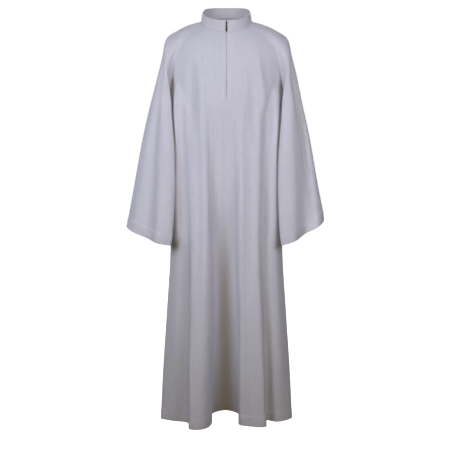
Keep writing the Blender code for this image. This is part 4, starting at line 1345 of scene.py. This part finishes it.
@dataclass
class ZipFront:
    """The concealed zip: its topstitching, its coil, and finishes for the solids that stay."""

    front: ClothGrid
    stitch_x: float = 0.0125
    foot_z: float = -0.277
    point_height: float = 0.022
    coil_turns: int = 150
    coil_foot: float = 0.012
    coil_top: float = 0.004
    coil_lift: float = 0.0002
    tooth_reach: float = 0.0022
    tooth_overlap: float = 0.0006
    tooth_half_height: float = 0.0006
    tooth_depth: float = 0.0001
    tooth_taper: float = 0.6

    def stitch_lines(self) -> list[tuple[Array, Array]]:
        """Two rows beside the slit that meet in a point below it."""
        points = self.front.points
        count = points.shape[1]
        z = points[:-1, count // 2, 2]
        rows = np.flatnonzero(z >= self.foot_z)
        reach = self.stitch_x * np.minimum((z[rows] - self.foot_z) / self.point_height, 1.0)
        lines = []
        for side in (-1, 1):
            columns = [np.interp(side * x, points[r, :, 0], np.arange(count))
                       for r, x in zip(rows, reach)]
            lines.append(self.front.surface(rows.astype(float), np.array(columns)))
        return lines

    def coil(self, shop: Workshop) -> None:
        """The zip's coil on its tape, seen through the slit."""
        low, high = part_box("zip_tape")
        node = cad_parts["zip_tape"]
        places = np.array([v.co for v in node.data.vertices])
        middle = places[np.abs(places[:, 0]) < 0.001]
        middle = middle[np.argsort(middle[:, 2])]
        heights = np.linspace(low.z + self.coil_foot, high.z - self.coil_top, self.coil_turns)
        level, start = np.unique(np.round(middle[:, 2], 4), return_index=True)
        front_y = np.minimum.reduceat(middle[:, 1], start)
        verts: list = []
        faces: list = []
        reach, overlap, half = self.tooth_reach, self.tooth_overlap, self.tooth_half_height
        for i, height in enumerate(heights):
            y = float(np.interp(height, level, front_y)) - self.coil_lift
            side = 1 if i % 2 else -1
            base = len(verts)
            for dx, dz in ((-reach, -half), (overlap, -half), (overlap, half), (-reach, half)):
                verts += [(side * -dx, y, height + dz),
                          (side * -dx, y - self.tooth_depth, height + dz * self.tooth_taper)]
            for k in range(4):
                n = (k + 1) % 4
                faces.append((base + 2 * k, base + 2 * n, base + 2 * n + 1, base + 2 * k + 1))
            faces.append((base + 1, base + 3, base + 5, base + 7))
        piece = add_mesh("zip_coil", verts, faces, shop.collection, smooth=False)
        # the coil takes the tape's grey, which is painted shade in the slit
        dress(piece, shop.finishes.tape)

    def build(self, shop: Workshop) -> None:
        """Make the zip's pieces and dress its solids."""
        shop.stitches("zip_stitches", self.stitch_lines())
        self.coil(shop)
        # the tape solid's grey is painted shade that darkens the slit
        tape, metal = shop.finishes.tape, shop.finishes.metal
        for node, material in (("zip_tape", tape), ("zip_slider", metal), ("zip_pull", metal)):
            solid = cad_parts[node]
            solid.data.materials.clear()
            solid.data.materials.append(material)


def place_object(name: str, data: bpy.types.ID, place: Sequence[float],
                 **settings: object) -> bpy.types.Object:
    """A camera or a lamp in the scene, with some of its data's properties set."""
    for key, value in settings.items():
        setattr(data, key, value)
    made = bpy.data.objects.new(name, data)
    made.location = place
    bpy.context.scene.collection.objects.link(made)
    return made


@dataclass(frozen=True)
class StudioCamera:
    """The camera at the photograph's angle."""

    place: tuple[float, float, float] = (-0.0018, -3.73, 0.05)
    pitch_down: float = 11.65
    lens: float = 84.6
    sensor: float = 36.0
    sees_to: float = 60.0

    def build(self) -> None:
        """Make the camera and set it."""
        camera = place_object("studio_camera", bpy.data.cameras.new("studio_camera"), self.place,
                              lens=self.lens, sensor_width=self.sensor, clip_end=self.sees_to)
        camera.rotation_euler = (math.radians(90.0 - self.pitch_down), 0.0, 0.0)
        bpy.context.scene.camera = camera


class Lamp(NamedTuple):
    """A softbox: where it stands, what it faces, its size, spread in degrees, power, colour."""

    name: str
    place: tuple[float, float, float]
    faces: tuple[float, float, float]
    width: float
    height: float
    spread: float
    power: float
    colour: tuple[float, float, float]


LAMPS = [
    Lamp("right_hand_softbox", (-1.58, -2.05, 0.50), (0.0, 0.0, -0.50), 1.2, 1.2, 62.0, 6.9,
         (0.755, 0.80, 1.0)),
    Lamp("left_hand_softbox", (1.60, -2.05, 0.50), (0.0, 0.0, -0.50), 1.2, 1.2, 62.0, 5.35,
         (0.765, 0.80, 1.0)),
    Lamp("warm_front_fill", (0.05, -3.5, 0.2), (0.0, 0.0, -0.9), 1.2, 1.2, 180.0, 15.8,
         (1.0, 0.74, 0.13)),
    Lamp("back_right_rim", (-1.9, 1.3, 0.5), (-0.2, 0.0, -0.35), 0.8, 0.8, 50.0, 1.5,
         (0.80, 0.90, 1.0)),
    Lamp("back_fill", (0.8, 3.0, 1.0), (0.0, 0.0, -0.6), 1.6, 1.6, 180.0, 62.0,
         (0.90, 0.92, 1.0)),
]


@dataclass(frozen=True)
class Studio:
    """The floor, the backdrop, the softboxes and the dim surrounding light."""

    floor_z: float = -1.60
    radius: float = 9.0
    wall: float = 7.0
    bend: float = 1.5
    sides: int = 64
    bend_steps: int = 8
    room_colour: tuple[float, float, float, float] = (1.0, 0.93, 0.80, 1.0)
    room_light: float = 0.055

    def sweep(self) -> None:
        """A pale floor that curves up into a round backdrop."""
        profile = [(0.0, 0.0)]
        for step in range(self.bend_steps + 1):
            turn = math.radians(90.0) * step / self.bend_steps
            profile.append((self.radius - self.bend + self.bend * math.sin(turn),
                            self.bend * (1 - math.cos(turn))))
        profile.append((self.radius, self.wall))
        verts, faces = [], []
        for k in range(self.sides):
            turn = 2 * math.pi * k / self.sides
            verts += [(r * math.cos(turn), r * math.sin(turn), self.floor_z + z)
                      for r, z in profile]
        span = len(profile)
        for k in range(self.sides):
            n = (k + 1) % self.sides
            for i in range(span - 1):
                faces.append((k * span + i, n * span + i, n * span + i + 1, k * span + i + 1))
        sweep = add_mesh("studio_sweep", verts, faces, bpy.context.scene.collection)
        material, chain, shader = new_material("pale_studio_paper")
        chain.feed(shader, {
            "Base Color": (0.9, 0.9, 0.9, 1.0), "Roughness": 1.0, "Specular IOR Level": 0.0,
            "Emission Color": (1.0, 1.0, 1.0, 1.0), "Emission Strength": 1.0})
        sweep.data.materials.append(material)
        sweep.visible_diffuse = sweep.visible_glossy = sweep.visible_shadow = False

    def lamps(self) -> None:
        """The softboxes."""
        for lamp in LAMPS:
            light = place_object(
                lamp.name, bpy.data.lights.new(lamp.name, "AREA"), lamp.place, shape="RECTANGLE",
                size=lamp.width, size_y=lamp.height, spread=math.radians(lamp.spread),
                energy=lamp.power, color=lamp.colour)
            towards = Vector(lamp.faces) - Vector(lamp.place)
            light.rotation_euler = towards.to_track_quat("-Z", "Y").to_euler()
            light.visible_camera = False

    def surround(self) -> None:
        """Dim light from all round."""
        world = bpy.data.worlds.new("dim_room")
        world.use_nodes = True
        NodeChain(world.node_tree).feed(world.node_tree.nodes["Background"], {
            "Color": self.room_colour, "Strength": self.room_light})
        bpy.context.scene.world = world
        bpy.context.scene.view_settings.view_transform = "Standard"

    def build(self) -> None:
        """Set up the whole studio."""
        self.sweep()
        self.lamps()
        self.surround()


def main() -> None:
    """Build the robe's looks in order and log the face count of each cloth shell."""
    logging.basicConfig(level=logging.INFO, format="%(message)s")
    StudioCamera().build()
    Studio().build()
    looks = bpy.data.collections.new("alb_robe_looks")
    bpy.context.scene.collection.children.link(looks)
    shop = Workshop(looks, make_finishes())

    front = BodyPanelShell("front_shell", "front_panel", FRONT_FORM, FRONT_FINE, steps=9,
                           with_slit=True)
    back = BodyPanelShell("back_shell", "back_panel", BACK_FORM, BACK_FINE, steps=7,
                          flat_width=0.87, flat_length=1.52, flat_area=0.84)
    front.build(shop)
    back.build(shop)
    for side in Side:
        name = side.name.lower()
        SleeveShell(f"sleeve_{name}_shell", f"sleeve_{name}", SleeveForm(side)).build(shop)
    CollarShell(front.grid, back.grid, front.grid.slit_column).build(shop)
    ZipFront(front.grid).build(shop)


if __name__ == "__main__":
    main()
